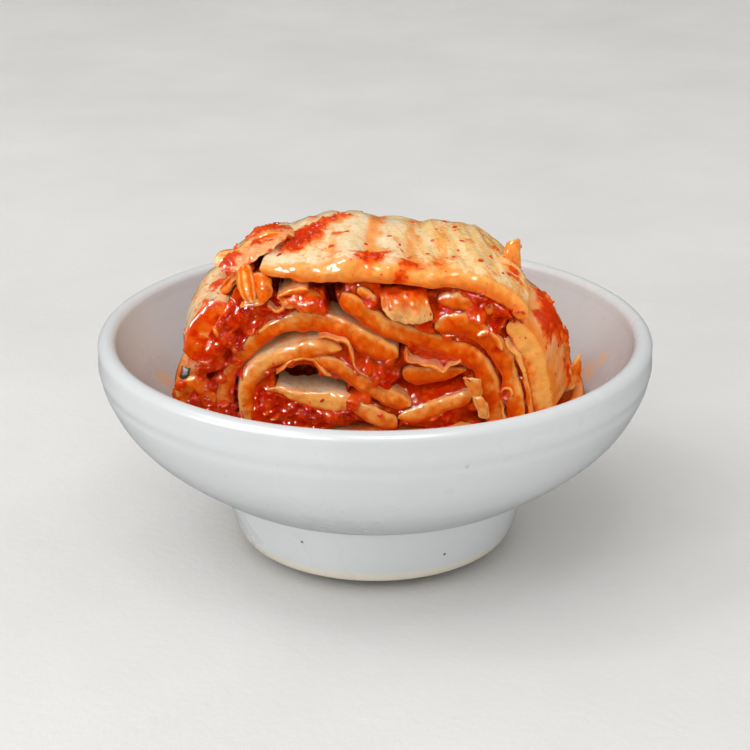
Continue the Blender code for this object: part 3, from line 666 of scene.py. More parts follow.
# Each piece: the solid it stands for, a net of places in millimetres, its thickness, how it
# wrinkles (size, height), how ragged its outline is, and its colour.
PIECES = [
    ("leaf_membrane", [[(-38.8, -14, 74.8), (-38.2, -12, 75.3), (-37.2, -9.5, 75.2), (-36.0, -7, 74.2)],
                       [(-35.0, -19, 74.9), (-34.2, -14, 76.3), (-33.6, -9, 76.4), (-33.2, -3.7, 75.0)],
                       [(-31.2, -20.5, 76.2), (-30.6, -15, 77.9), (-30.4, -8, 77.9), (-30.2, -1, 76.4)],
                       [(-27.6, -19.5, 78.2), (-26.6, -14, 79.2), (-26.4, -7, 79.2), (-26.6, -1.3, 78.1)],
                       [(-24.0, -15.5, 79.7), (-23.2, -10, 80.2), (-22.8, -5, 80.0), (-22.8, -0.5, 79.5)],
                       [(-20.8, -8.5, 80.2), (-20.2, -5, 80.4), (-20.2, -3, 80.3), (-20.4, -1, 80.0)]],
     0.5, ((2.4, 3.4, 2.4), 1.5), 0.22, veil),
    ("leaf_stem", [[(-33.0, -19.5, 75.4), (-32.9, -22.5, 73.2), (-31.6, -25.2, 70.8), (-29.7, -26.2, 69.5)],
                   [(-31.3, -20.6, 77.4), (-30.8, -24.4, 75.4), (-30.0, -27.2, 72.4), (-29.0, -27.4, 69.8)],
                   [(-29.6, -19.5, 76.4), (-28.4, -22.5, 74.4), (-27.9, -25.4, 71.8), (-28.3, -26.2, 69.9)]],
     0.8, ((0.9, 4.0, 4.0), 0.28), 0.08, dye(0.12, 0.25, 0.5, 0.4)),
    (None, [[(-28.8, -22.0, 75.6), (-28.3, -24.6, 73.2), (-27.7, -26.2, 70.9), (-27.8, -26.2, 69.4)],
            [(-26.8, -23.6, 76.6), (-26.2, -27.0, 74.2), (-25.8, -27.8, 71.6), (-26.4, -27.2, 69.6)],
            [(-25.0, -21.6, 75.6), (-24.3, -24.4, 73.6), (-24.5, -26.0, 71.6), (-25.4, -26.2, 70.4)]],
     0.5, ((1.6, 1.6, 1.6), 0.55), 0.15, dye(0.1, 0.25, 0.6)),
    (None, [[(-32.8, -25.2, 67.8), (-30.4, -26.8, 68.6), (-28.0, -27.4, 69.0), (-25.6, -27.0, 69.6)],
            [(-32.0, -24.6, 69.2), (-30.2, -25.6, 70.4), (-28.0, -26.2, 70.8), (-26.4, -26, 71.0)]],
     0.5, ((1.6, 1.6, 1.6), 0.45), 0.3, dye(0.1, 0.4, 0.4)),
    ("leaf_crumple", [[(-22.8, -14, 70.8), (-22.6, -24.5, 70.6), (-22.9, -26.0, 69.6), (-22.4, -25.6, 68.6)],
                      [(-20.2, -13, 71.6), (-20.0, -22.5, 71.6), (-20.2, -26.6, 70.2), (-19.4, -26.6, 68.2)],
                      [(-17.2, -13, 71.6), (-17.0, -22.0, 71.4), (-16.6, -27.4, 69.8), (-16.2, -26.8, 67.4)],
                      [(-14.4, -13, 70.8), (-14.0, -22.5, 70.4), (-13.6, -27.0, 68.8), (-13.2, -26.4, 66.4)],
                      [(-12.6, -14, 69.4), (-12.2, -24.0, 69.0), (-11.6, -26.4, 67.6), (-11.8, -26.0, 66.0)]],
     0.7, ((1.7, 2.2, 1.7), 1.0), 0.12, dye(0.0, 0.75, 0.3)),
    ("leaf_tongue", [[(0.4, -20, 71.2), (1.0, -25.2, 70.4), (1.6, -26.6, 68.4), (2.8, -26.6, 66.4), (4.6, -26.0, 65.0)],
                     [(2.4, -20, 72.0), (2.8, -24.4, 71.2), (3.4, -26.0, 69.0), (4.4, -26.2, 66.6), (6.0, -26.2, 64.6)],
                     [(4.2, -20, 72.2), (4.6, -26.4, 70.8), (5.2, -28.2, 68.8), (6.0, -28.6, 66.8), (7.2, -27.6, 64.8)],
                     [(6.6, -20, 72.2), (6.8, -25.2, 71.2), (7.2, -26.8, 69.2), (7.8, -27.0, 66.8), (8.6, -26.8, 64.4)],
                     [(8.6, -20, 72.2), (8.8, -27.0, 70.8), (9.4, -28.8, 68.8), (9.8, -29.0, 66.8), (10.4, -27.8, 64.8)],
                     [(10.6, -20, 72.0), (11.0, -25.0, 71.0), (11.6, -26.6, 69.0), (12.0, -26.8, 66.8), (12.2, -26.4, 64.8)],
                     [(12.4, -20, 71.6), (12.8, -25.8, 70.0), (13.4, -27.0, 68.2), (14.0, -27.2, 66.4), (13.6, -26.2, 65.4)]],
     0.6, ((1.5, 2.2, 2.6), 0.7), 0.08, flap),
    ("leaf_curl", [[(21.4, -25.0, 50.4), (22.0, -25.2, 49.0), (22.8, -25.4, 47.4), (23.6, -25.4, 45.8)],
                   [(21.6, -27.8, 51.4), (22.4, -28.0, 49.6), (23.1, -27.8, 47.8), (23.9, -27.2, 45.8)],
                   [(23.6, -29.0, 51.6), (24.0, -29.2, 49.8), (24.3, -28.8, 47.8), (24.6, -28.2, 45.6)],
                   [(25.4, -27.6, 50.8), (25.5, -27.8, 49.2), (25.4, -27.4, 47.4), (25.2, -27.0, 45.6)],
                   [(24.2, -25.4, 49.8), (24.5, -25.6, 48.4), (24.7, -25.4, 47.0), (24.8, -25.4, 45.6)]],
     0.5, ((0.9, 0.9, 3.4), 0.6), 0.14, dye(0.20, 0.22, 0.4)),
    (None, [[(23.2, -25.4, 46.4), (24.2, -25.4, 44.4), (25.0, -25.4, 42.4), (25.8, -25.4, 40.8)],
            [(23.8, -28.0, 46.6), (24.6, -28.2, 44.4), (25.4, -28.0, 42.4), (26.0, -27.6, 40.4)],
            [(25.2, -28.8, 46.8), (26.0, -29.2, 44.6), (26.6, -28.8, 42.4), (27.0, -28.0, 40.2)],
            [(26.0, -27.0, 46.0), (27.0, -27.4, 44.0), (27.6, -27.0, 42.0), (27.8, -26.6, 40.4)]],
     0.6, ((0.9, 0.9, 3.0), 0.7), 0.14, dye(0.25, 0.22, 0.4)),
    ("scrap_right", [[(46.0, -4, 37.0), (47.0, -4, 42.0), (47.4, -3.5, 45.0)],
                     [(49.4, -6, 38.0), (50.0, -5.4, 42.6), (49.8, -5.0, 46.6)],
                     [(52.6, -3, 41.0), (53.0, -2.5, 44.0), (52.4, -2.0, 48.6)]],
     1.0, ((2.2, 2.2, 2.2), 0.5), 0.35, dye(0.1, 0.55, 0.3)),
    ("scrap_upright", [[(31.6, 3.0, 69.4), (32.2, 3.4, 72.0), (33.4, 4.0, 75.4)],
                       [(33.6, 1.6, 68.8), (33.8, 2.2, 72.6), (34.0, 3.2, 76.0)],
                       [(35.6, 1.8, 68.4), (35.6, 2.4, 72.6), (35.4, 3.2, 76.6)],
                       [(37.4, 3.0, 68.2), (37.0, 3.8, 71.4), (36.5, 4.6, 76.0)]],
     0.7, ((1.6, 1.6, 3.0), 0.6), 0.20, dye(0.30, 0.22, 0.3)),
    ("scrap_back_left", [[(-40.4, -3, 71.4), (-40.2, 0, 71.8), (-39.6, 4, 71.4)],
                         [(-37.6, -4, 72.0), (-37.5, 0, 72.8), (-37.2, 5, 72.4)],
                         [(-34.8, -4, 72.2), (-34.6, 0, 73.0), (-34.4, 5, 72.7)]],
     1.7, ((2.0, 2.0, 2.0), 0.45), 0.15, dye(0.75, 0.2)),
    ("leaf_green", [[(-47.7, -24.4, 49.6), (-47.4, -23.8, 51.2), (-46.8, -22.4, 52.4)],
                    [(-46.5, -25.4, 49.4), (-46.1, -24.8, 51.0), (-45.6, -23.4, 52.3)],
                    [(-45.2, -25.2, 49.6), (-44.7, -24.4, 50.9), (-44.4, -23.2, 52.0)]],
     0.6, ((1.4, 1.4, 1.4), 0.4), 0.3, green),
    (None, [[(-37.6, -19.0, 65.6), (-37.8, -6.0, 65.4), (-37.8, 7.0, 65.0), (-37.2, 19.0, 64.6)],
            [(-35.6, -20.0, 69.4), (-35.8, -7.0, 69.6), (-36.0, 6.0, 69.2), (-35.4, 19.4, 67.6)],
            [(-32.4, -19.4, 73.4), (-33.0, -6.0, 73.6), (-33.6, 7.0, 72.4), (-33.8, 18.6, 70.0)],
            [(-28.6, -18.0, 75.2), (-29.6, -6.0, 75.0), (-30.4, 7.0, 73.4), (-31.0, 18.0, 71.0)]],
     1.6, ((3.0, 5.0, 3.0), 1.3), 0.10, dye(0.05, 0.70)),
    (None, [[(-48.6, -25.4, 47.2), (-48.2, -26.0, 49.0), (-47.0, -26.0, 50.0)],
            [(-47.2, -26.4, 46.8), (-46.6, -26.8, 48.4), (-46.0, -26.6, 49.8)],
            [(-46.4, -26.0, 46.9), (-45.8, -26.2, 48.2), (-45.4, -26.0, 49.4)]],
     0.6, ((1.2, 1.2, 1.2), 0.3), 0.2, dye(0.0, 1.0)),
]


def sample(grid, s, t):
    """Bilinear look-up in a (rows, columns, 3) grid at shares s and t."""
    rows, columns = grid.shape[0] - 1, grid.shape[1] - 1
    a, b = np.clip(s, 0, 1) * rows, np.clip(t, 0, 1) * columns
    i, j = np.minimum(a.astype(int), rows - 1), np.minimum(b.astype(int), columns - 1)
    a, b = (a - i)[..., None], (b - j)[..., None]
    return (grid[i, j] * (1 - a) * (1 - b) + grid[i + 1, j] * a * (1 - b) + grid[i, j + 1] * (1 - a) * b
            + grid[i + 1, j + 1] * a * b)


def build_piece(name, node, net, thickness, wrinkle, ragged, paint, seed, step=0.3):
    """A thin closed sheet through a net of places, wrinkled and with an uneven outline."""
    step = step * 1.0
    net = np.array(net, float)
    fine = np.array([smooth_line(net[:, j], 12) for j in range(net.shape[1])]).transpose(1, 0, 2)
    fine = np.array([smooth_line(row, 12) for row in fine])
    size = [np.linalg.norm(np.diff(fine, axis=k), axis=2).sum(axis=k).max() for k in (0, 1)]
    rows, columns = (max(8, int(length / step)) for length in size)
    s, t = np.meshgrid(np.linspace(0, 1, rows), np.linspace(0, 1, columns), indexing="ij")
    count = rows * columns
    at_s = np.c_[t.ravel() * 6, s.ravel().round() * 9, np.zeros(count)]
    at_t = np.c_[s.ravel() * 6, t.ravel().round() * 9, np.ones(count)]
    cut_s = ragged * (0.5 + 0.5 * fractal(at_s, (1, 1, 1), seed + 3)).clip(0, 1).reshape(s.shape)
    cut_t = ragged * (0.5 + 0.5 * fractal(at_t, (1, 1, 1), seed + 4)).clip(0, 1).reshape(s.shape)
    middle = sample(fine, 0.5 + (s - 0.5) * (1 - cut_s), 0.5 + (t - 0.5) * (1 - cut_t))
    across = np.cross(np.gradient(middle, axis=0), np.gradient(middle, axis=1))
    across /= np.linalg.norm(across, axis=2, keepdims=True) + 1e-9
    flat = middle.reshape(-1, 3)
    (spread_out, height) = wrinkle
    folds = fractal(flat, spread_out, seed + 5).reshape(s.shape)
    middle = middle + across * (height * folds)[..., None]
    across = np.cross(np.gradient(middle, axis=0), np.gradient(middle, axis=1))
    across /= np.linalg.norm(across, axis=2, keepdims=True) + 1e-9
    edge = np.minimum(np.minimum(s, 1 - s) * rows, np.minimum(t, 1 - t) * columns)
    half = thickness / 2 * (0.45 + 0.55 * np.clip(edge / 3, 0, 1) ** 0.5)
    top, under = middle + across * half[..., None], middle - across * half[..., None]
    faces = grid_faces(rows, columns)
    index = np.arange(count).reshape(rows, columns)
    loop = np.r_[index[0, :-1], index[:-1, -1], index[-1, :0:-1], index[:0:-1, 0]]
    ahead = np.roll(loop, -1)
    wall = np.c_[ahead, loop, loop + count, ahead + count]
    faces = np.vstack([faces, faces[:, ::-1] + count, wall])
    verts = np.vstack([top.reshape(-1, 3), under.reshape(-1, 3)])
    if normal_faces_in(verts, faces):
        faces = faces[:, ::-1]
    colour = paint(flat, s.ravel(), t.ravel(), seed)
    obj = make_mesh(name, verts, faces, np.vstack([colour, colour]))
    obj.data.materials.append(LEAF_MATERIAL)
    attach(obj, "root")
    if node:
        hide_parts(node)


def build_pieces():
    for order, (node, *design) in enumerate(PIECES):
        build_piece(f"fine_piece_{order}", node, *design, seed=7000 + 100 * order)


# --- Seasoning between the leaves ---------------------------------------------
# Outline of the bundle's cut face, inside which every gap holds chili paste.
CUT_OUTLINE = [(-47, 36), (-46.5, 45), (-43, 51.5), (-40, 62), (-35, 69.5), (-31, 74.5), (-26, 76), (-8, 75),
               (12, 73.5), (24, 71.5), (32, 67.5), (33.5, 64), (37, 57), (39.5, 50), (41, 42), (41, 36)]
# Where the paste heaps up on the cut face: x, z, radius, how far it stands forward.
HEAPS = [(-31.6, 66.0, 3.4, 2.2), (-33.0, 58.5, 3.6, 2.4), (-29.2, 62.5, 3.0, 2.0), (-33.8, 52.0, 3.0, 2.4),
         (-40.6, 55.0, 3.0, 1.6), (-37.5, 60.6, 2.8, 1.8), (-35.6, 64.6, 2.4, 1.6), (-27.4, 68.2, 3.0, 2.2),
         (-22.0, 67.4, 3.0, 2.0), (-16.0, 68.0, 3.4, 2.2), (-11.5, 68.6, 2.4, 1.4), (-24.5, 72.5, 1.8, 0.6),
         (-1.1, 68.8, 1.8, 1.4), (12.8, 64.2, 2.4, 1.6), (16.5, 67.2, 2.0, 1.2), (24.8, 70.6, 3.4, 2.4),
         (29.5, 67.6, 2.8, 1.8), (33.6, 65.6, 2.2, 1.8), (29.0, 63.4, 2.0, 1.4), (1.7, 49.0, 3.2, 2.2),
         (-3.6, 52.6, 2.6, 2.0),  (-27.0, 44.4, 3.4, 2.4), (-36.0, 44.4, 4.0, 2.6),
         (-42.0, 46.5, 3.6, 2.0), (-32.7, 41.1, 3.6, 2.4), (-22.0, 40.4, 4.0, 2.6), (-15.0, 40.0, 4.0, 2.6),
         (-8.4, 41.0, 3.4, 2.4), (-45.0, 41.0, 3.0, 1.6), (-20.6, 53.2, 1.8, 1.2), (-25.2, 50.6, 2.0, 1.2),
         (12.0, 53.6, 1.6, 0.8), (18.0, 54.6, 1.6, 0.8), (31.2, 45.6, 1.8, 1.6),
         (10.0, 37.6, 3.0, 1.8), (17.0, 38.2, 3.0, 1.8), (2.0, 36.6, 3.0, 1.4), (24.6, 39.2, 2.4, 1.4),
         (35.4, 60.6, 1.4, 1.0), (9.5, 57.0, 1.8, 1.0), (20.5, 60.8, 1.8, 1.2)]
# Gaps that stand open: a line along the gap in (x, z), how wide it opens and how deep.
OPEN_GAPS = [([(-30.4, 52.6), (-27.8, 55.6), (-24.0, 58.6), (-19.0, 60.4), (-13.5, 60.9), (-9.5, 60.4)], 1.9, 11.0),
             ([(-22.0, 49.7), (-18.0, 48.8), (-13.0, 47.6), (-9.0, 46.6)], 2.3, 11.0),
             ([(-21.5, 51.6), (-17.5, 51.6), (-14.5, 50.8)], 1.3, 6.0),
             ([(-9.4, 66.2), (-5.4, 63.8), (-1.2, 61.4), (3.0, 59.0), (6.0, 57.8)], 1.7, 9.0),
             ([(-27.6, 73.6), (-21.0, 73.6), (-12.5, 73.0), (-8.8, 72.8)], 1.3, 9.0),
             ([(-11.0, 71.6), (-10.2, 68.6), (-9.6, 66.6)], 1.3, 8.0),
             ([(-24.6, 71.9), (-23.0, 71.8)], 1.0, 6.0),
             ([(-39.8, 50.0), (-38.0, 52.6), (-37.4, 54.6)], 0.9, 5.0),
             ([(2.5, 72.8), (8.0, 72.4), (13.6, 71.8)], 1.5, 8.0),
             ([(-33.7, 41.0), (-33.8, 46.0), (-33.0, 49.6)], 0.8, 3.5),
             ([(25.5, 60.0), (28.0, 57.4), (29.6, 54.0), (30.4, 50.0), (31.6, 44.0)], 0.8, 2.5),
             ([(30.6, 61.8), (33.8, 57.0), (36.2, 51.0), (38.6, 43.0)], 0.7, 3.0),
             ([(-7.0, 44.6), (-4.6, 46.6), (-1.0, 44.4), (3.0, 42.4)], 0.8, 2.5)]
# Sauce smeared over the cut faces themselves: x, z, radius, how far it stands forward.
SMEARS = [(11.5, 63.3, 2.2, 1.0), (17.1, 60.4, 2.0, 0.9), (24.1, 66.2, 2.6, 1.4), (1.0, 50.2, 2.2, 1.2),
          (3.8, 53.9, 1.3, 1.2), (-1.8, 52.4, 1.8, 1.0), (31.8, 45.1, 1.4, 1.0),
          (-10.9, 39.6, 2.2, 1.2), (-27.6, 54.6, 1.0, 0.8), (8.6, 58.4, 1.4, 0.9),
          (25.0, 70.4, 2.6, 1.6), (29.6, 67.0, 2.2, 1.3), (33.6, 65.2, 1.9, 1.0), (21.5, 70.8, 2.0, 0.7),
          (-35.4, 66.4, 3.0, 1.6), (-38.2, 63.4, 2.6, 1.8), (-38.6, 58.2, 2.6, 1.7), (-41.6, 54.0, 2.2, 1.2),
          (-36.0, 60.0, 2.6, 1.8), (-41.0, 61.4, 1.3, 1.2), (-38.6, 54.0, 2.4, 1.5), (-27.8, 41.0, 3.0, 1.5), (-5.6, 43.4, 2.4, 1.2), (-2.4, 44.6, 2.0, 1.0),
          (-44.0, 44.0, 2.2, 1.0), (-40.0, 42.0, 2.2, 1.0), (-37.0, 49.5, 2.0, 1.0), (-36.8, 42.0, 2.4, 1.2)]
FILM_STEP = 0.28


def inside_outline(points, outline):
    x, z = points[:, 0], points[:, 1]
    inside = np.zeros(len(points), bool)
    corners = np.asarray(outline, float)
    for a, b in zip(corners, np.roll(corners, -1, axis=0)):
        crosses = (a[1] > z) != (b[1] > z)
        at = a[0] + (z - a[1]) * (b[0] - a[0]) / np.where(b[1] == a[1], 1e-9, b[1] - a[1])
        inside ^= crosses & (x < at)
    return inside


def cut_field(points, at_back):
    """At each (x, z) place: how far it lies outside the nearest leaf, and where that leaf's cut stands."""
    best = np.full((2, len(points)), 1e9)
    stand = np.zeros((2, len(points)))
    for spine, half, front, back in CUTS:
        if (at_back and back.mean() < 18) or (not at_back and front.mean() > -21):
            continue
        cut = back if at_back else front
        distance = np.hypot(points[:, 0, None] - spine[::2, 0], points[:, 1, None] - spine[::2, 1]) - half[::2]
        k = distance.argmin(axis=1)
        distance = distance[np.arange(len(points)), k]
        here = cut[::2][k]
        closer = distance < best[0]
        second = ~closer & (distance < best[1])
        best[1] = np.where(closer, best[0], np.where(second, distance, best[1]))
        stand[1] = np.where(closer, stand[0], np.where(second, here, stand[1]))
        best[0] = np.where(closer, distance, best[0])
        stand[0] = np.where(closer, here, stand[0])
    weight = 1 / (0.3 + best.clip(0, 6)) ** 2
    return best[0], (stand * weight).sum(0) / weight.sum(0)


def pebble(level=1):
    """Vertices and faces of a small round grain of radius 1."""
    import bmesh
    bm = bmesh.new()
    bmesh.ops.create_icosphere(bm, subdivisions=level, radius=1.0)
    verts = np.array([v.co[:] for v in bm.verts])
    faces = np.array([[v.index for v in f.verts] for f in bm.faces])
    bm.free()
    return verts, faces


def turned(rng, count):
    """Random rotation matrices."""
    q = rng.normal(size=(count, 4))
    w, x, y, z = (q / np.linalg.norm(q, axis=1)[:, None]).T
    return np.stack([np.stack([1 - 2 * (y * y + z * z), 2 * (x * y - z * w), 2 * (x * z + y * w)], -1),
                     np.stack([2 * (x * y + z * w), 1 - 2 * (x * x + z * z), 2 * (y * z - x * w)], -1),
                     np.stack([2 * (x * z - y * w), 2 * (y * z + x * w), 1 - 2 * (x * x + y * y)], -1)], 1)


def scatter_shapes(verts, faces, centres, radii, turns):
    """One array of copies of a small shape, each with its own radii, turn and centre."""
    shapes = np.einsum("nij,nkj->nki", turns, verts[None] * radii[:, None, :]) + centres[:, None, :]
    shift = (np.arange(len(centres)) * len(verts))[:, None, None]
    return shapes.reshape(-1, 3), (faces[None] + shift).reshape(-1, faces.shape[1])


def near_any(points, spots):
    """Sum of soft bumps at (x, z, radius, height) spots."""
    total = np.zeros(len(points))
    for spot in spots:
        x, z, radius = spot[:3]
        height = spot[3] if len(spot) > 3 else 1.0
        distance = np.hypot(points[:, 0] - x, points[:, 1] - z) / radius
        total = np.maximum(total, height * np.exp(-distance ** 2 * 0.9))
    return total


def open_depth(points):
    """How far the sauce draws back at each (x, z) place where a gap stands open."""
    depth = np.zeros(len(points))
    for line, width, deep in OPEN_GAPS:
        spine = even_line(line, 0.5)[0]
        distance = np.hypot(points[:, 0, None] - spine[:, 0], points[:, 1, None] - spine[:, 1]).min(axis=1)
        depth = np.maximum(depth, deep * smoothstep(width * 1.15, width * 0.55, distance))
    return depth


def raise_lumps(x, z, step, heaps, rng):
    """Rounded grains of chopped pepper standing out of the sauce, as a height at each grid place."""
    flat = np.stack([x.ravel(), 0 * x.ravel(), z.ravel()], -1)
    wx = x + 0.32 * noise(flat, (1.3, 1, 1.3), 61).reshape(x.shape)
    wz = z + 0.32 * noise(flat, (1.3, 1, 1.3), 62).reshape(x.shape)
    height = np.zeros(x.shape)
    for hx, hz, radius, amount in heaps:
        for _ in range(int(0.9 * radius * radius)):
            px, pz = rng.normal((hx, hz), 0.52 * radius)
            size = rng.uniform(0.8, 1.5) + 0.9 * rng.uniform() ** 3
            spin, squash = rng.uniform(0, math.pi), rng.uniform(1.1, 2.4)
            i0, i1 = int((pz - 2.6 - z[0, 0]) / step), int((pz + 2.6 - z[0, 0]) / step)
            j0, j1 = int((px - 2.6 - x[0, 0]) / step), int((px + 2.6 - x[0, 0]) / step)
            if i0 < 0 or j0 < 0 or i1 > x.shape[0] or j1 > x.shape[1]:
                continue
            dx, dz = wx[i0:i1, j0:j1] - px, wz[i0:i1, j0:j1] - pz
            along = dx * math.cos(spin) + dz * math.sin(spin)
            across = (dz * math.cos(spin) - dx * math.sin(spin)) * squash
            dome = 0.7 * size * np.clip(1 - (along ** 2 + across ** 2) / size ** 2, 0, 1) ** 0.4
            tile = height[i0:i1, j0:j1]
            np.maximum(tile, dome * min(1.0, 0.5 + 0.3 * amount), out=tile)
    return height


def build_film(name, at_back):
    """The wet sauce between the leaves near one cut face: smooth where it is thin, lumpy in heaps, with shade painted
    dark red where it lies deep in the gaps and in the crevices.
    """
    rng = np.random.default_rng(31 + at_back)
    step = FILM_STEP * 1.0
    low, high = np.min(CUT_OUTLINE, axis=0), np.max(CUT_OUTLINE, axis=0)
    x, z = np.meshgrid(np.arange(low[0], high[0], step), np.arange(low[1], high[1], step))
    spots = np.stack([x.ravel(), z.ravel()], -1)
    gap, stand = cut_field(spots, at_back)
    heap, smear = near_any(spots, HEAPS), near_any(spots, SMEARS)
    opening = open_depth(spots)
    flat = np.c_[spots[:, 0], 0 * gap, spots[:, 1]]
    inward = 1.1 + 1.5 * smoothstep(0.0, 1.4, gap) + 2.4 * np.clip(-gap, 0, 3)
    inward += 0.4 * noise(flat, (4.5, 1, 4.5), 63) + 0.22 * noise(flat, (1.5, 1, 1.5), 64)
    inward += 2.6 * smoothstep(-0.1, 0.7, noise(flat, (9.0, 1, 9.0), 68)) * smoothstep(0.1, 0.9, gap)
    inward += 0.55 * noise(flat, (1.7, 1, 1.3), 69) + 0.30 * noise(flat, (0.9, 1, 0.8), 70)
    lumps = raise_lumps(x, z, step, HEAPS + SMEARS, rng).ravel()
    near = smoothstep(-1.5, -0.1, gap)
    inward -= (0.55 * heap + lumps * smoothstep(0.1, 0.6, heap)) * near
    cover = smoothstep(0.35, 0.8, smear)
    inward = inward + (0.25 - 0.45 * smear - inward) * cover - lumps * cover * 0.8
    inward += opening * (1 - cover)
    pool = smoothstep(1.1, 0.8, np.hypot((spots[:, 0] - 13.6) / 9.5, (spots[:, 1] - 46.6) / 3.6)) * (gap > -1.0)
    slope = 0.7 + 1.25 * np.clip(spots[:, 1] - 42.4 - 0.12 * (spots[:, 0] - 8), 0, 6)
    slope = slope + 0.6 * noise(flat, (2.4, 1, 1.5), 67) + 0.5 * noise(flat, (1.1, 1, 0.8), 60)
    inward = inward + (slope + 2.4 * np.clip(-gap, 0, 3) - inward) * pool
    buried = (gap < -1.3) & (smear < 0.3)
    y = stand - inward if at_back else stand + inward
    points = np.stack([spots[:, 0], y, spots[:, 1]], -1)
    keep = (inside_outline(spots, CUT_OUTLINE) & ~buried).reshape(x.shape)
    quads = grid_faces(*x.shape)
    quads = quads[keep.ravel()[quads].all(axis=1)]
    count = len(points)
    behind = points + np.array([0, -1.5 if at_back else 1.5, 0])
    edges = np.sort(np.stack([quads, np.roll(quads, -1, axis=1)], -1).reshape(-1, 2), axis=1)
    _, first, times = np.unique(edges[:, 0] * count + edges[:, 1], return_index=True, return_counts=True)
    rim = np.stack([quads, np.roll(quads, -1, axis=1)], -1).reshape(-1, 2)[first[times == 1]]
    wall = np.c_[rim[:, 1], rim[:, 0], rim[:, 0] + count, rim[:, 1] + count]
    faces = np.vstack([quads, quads[:, ::-1] + count, wall])
    used, faces = np.unique(faces, return_inverse=True)
    faces = faces.reshape(-1, 4)
    both = ripple(settle(np.vstack([points, behind])))
    if normal_faces_in(both[used], faces):
        faces = faces[:, ::-1]
    broad, fine = fractal(flat, (5, 1, 5), 65), fractal(flat, (1.0, 1, 1.0), 66)
    tone = np.clip(0.45 + 0.45 * broad + 0.3 * fine + 0.5 * smoothstep(0.3, 1.2, heap), 0, 1)
    tint = mix(SAUCE_BRIGHT, SAUCE, tone)
    # Painted shade: the sauce turns dark red the further back it lies in a gap.
    tint = mix(tint, PAINTED_SHADE_RED, smoothstep(1.7, 5.0, inward) * (1 - pool))
    tint = mix(tint, 0.8 * SAUCE, 0.65 * pool)
    # Painted shade: the sauce turns dark red right next to the leaves' edges, in the crevices, but not on heaps, smears
    # or the pool.
    painted_crevice_shade = smoothstep(0.9, 0.1, gap) * (1 - smoothstep(0.25, 0.75, heap)) * (1 - cover) * (1 - pool)
    tint = mix(tint, PAINTED_SHADE_RED, 0.8 * painted_crevice_shade)
    obj = make_mesh(name, both[used], faces, np.vstack([tint, tint])[used])
    obj.data.materials.append(SAUCE_MATERIAL)
    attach(obj, "root")
    return x, z, y.reshape(x.shape)


def build_bits(name, film, at_back):
    """Loose chunks of pepper and garlic set into the heaps of sauce."""
    rng = np.random.default_rng(71 + at_back)
    x, z, y = film
    step = x[0, 1] - x[0, 0]
    ball, faces = pebble(2)
    centres, radii, tints = [], [], []
    for hx, hz, radius, amount in HEAPS + SMEARS:
        for _ in range(int(0.16 * radius * radius)):
            px, pz = rng.normal((hx, hz), 0.5 * radius)
            i, j = int((pz - z[0, 0]) / step), int((px - x[0, 0]) / step)
            if not (0 <= i < x.shape[0] and 0 <= j < x.shape[1]) or abs(y[i, j]) < 20 or abs(y[i, j]) > 28.5:
                continue
            size = 0.55 + 0.9 * rng.uniform() ** 2
            centres.append((px, y[i, j] + (0.25 if at_back else -0.25) * size, pz))
            radii.append(size * rng.uniform((0.9, 0.5, 0.25), (1.5, 0.9, 0.45)))
            pale = rng.uniform() ** 9
            tints.append(mix(mix(SAUCE, SAUCE_BRIGHT, rng.uniform()), np.array([0.95, 0.27, 0.03]), 0.8 * pale))
    centres, radii = np.array(centres), np.array(radii)
    centres = ripple(settle(centres))
    verts, faces = scatter_shapes(ball, faces, centres, radii, turned(rng, len(centres)))
    middle = np.repeat(centres, len(ball), axis=0)
    lump = 1 + 0.40 * noise(verts, (0.7, 0.7, 0.7), 72) + 0.20 * noise(verts, (0.35, 0.35, 0.35), 73)
    verts = middle + (verts - middle) * lump[:, None]
    obj = make_mesh(name, verts, faces, np.repeat(np.array(tints), len(ball), axis=0))
    obj.data.materials.append(SAUCE_MATERIAL)
    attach(obj, "root")


# --- Flakes of chili --------------------------------------------------------------
def chip_shape():
    """A thin flat chip with an uneven outline, about 1 across."""
    outline = np.array([(0.50, 0.02), (0.30, 0.36), (-0.08, 0.44), (-0.46, 0.22), (-0.42, -0.20), (-0.10, -0.40),
                        (0.34, -0.30)])
    count = len(outline)
    top = np.c_[outline * 0.86, np.full(count, 0.5)]
    rim = np.c_[outline, np.zeros(count)]
    bottom = np.c_[outline * 0.86, np.full(count, -0.5)]
    verts = np.vstack([top, rim, bottom, (0.03, 0.0, 0.62), (0.03, 0.0, -0.62)])
    k = np.arange(count)
    n = (k + 1) % count
    faces = np.vstack([np.c_[k, k + count, n + count], np.c_[k, n + count, n],
                       np.c_[k + count, k + 2 * count, n + 2 * count], np.c_[k + count, n + 2 * count, n + count],
                       np.c_[np.full(count, 3 * count), k, n],
                       np.c_[np.full(count, 3 * count + 1), n + 2 * count, k + 2 * count]])
    return verts, faces


def flake_material():
    """A dry-skinned, shiny bit of red pepper."""
    m = Nodes("chili_flake")
    tint = m.add("Attribute", attribute_name="tint").outputs["Color"]
    m.set(Base_Color=tint, Roughness=0.4, Specular_IOR_Level=0.2, Coat_Weight=0.5, Coat_Roughness=0.15)
    m.set(Subsurface_Weight=0.1, Subsurface_Scale=0.0006)
    return m.material


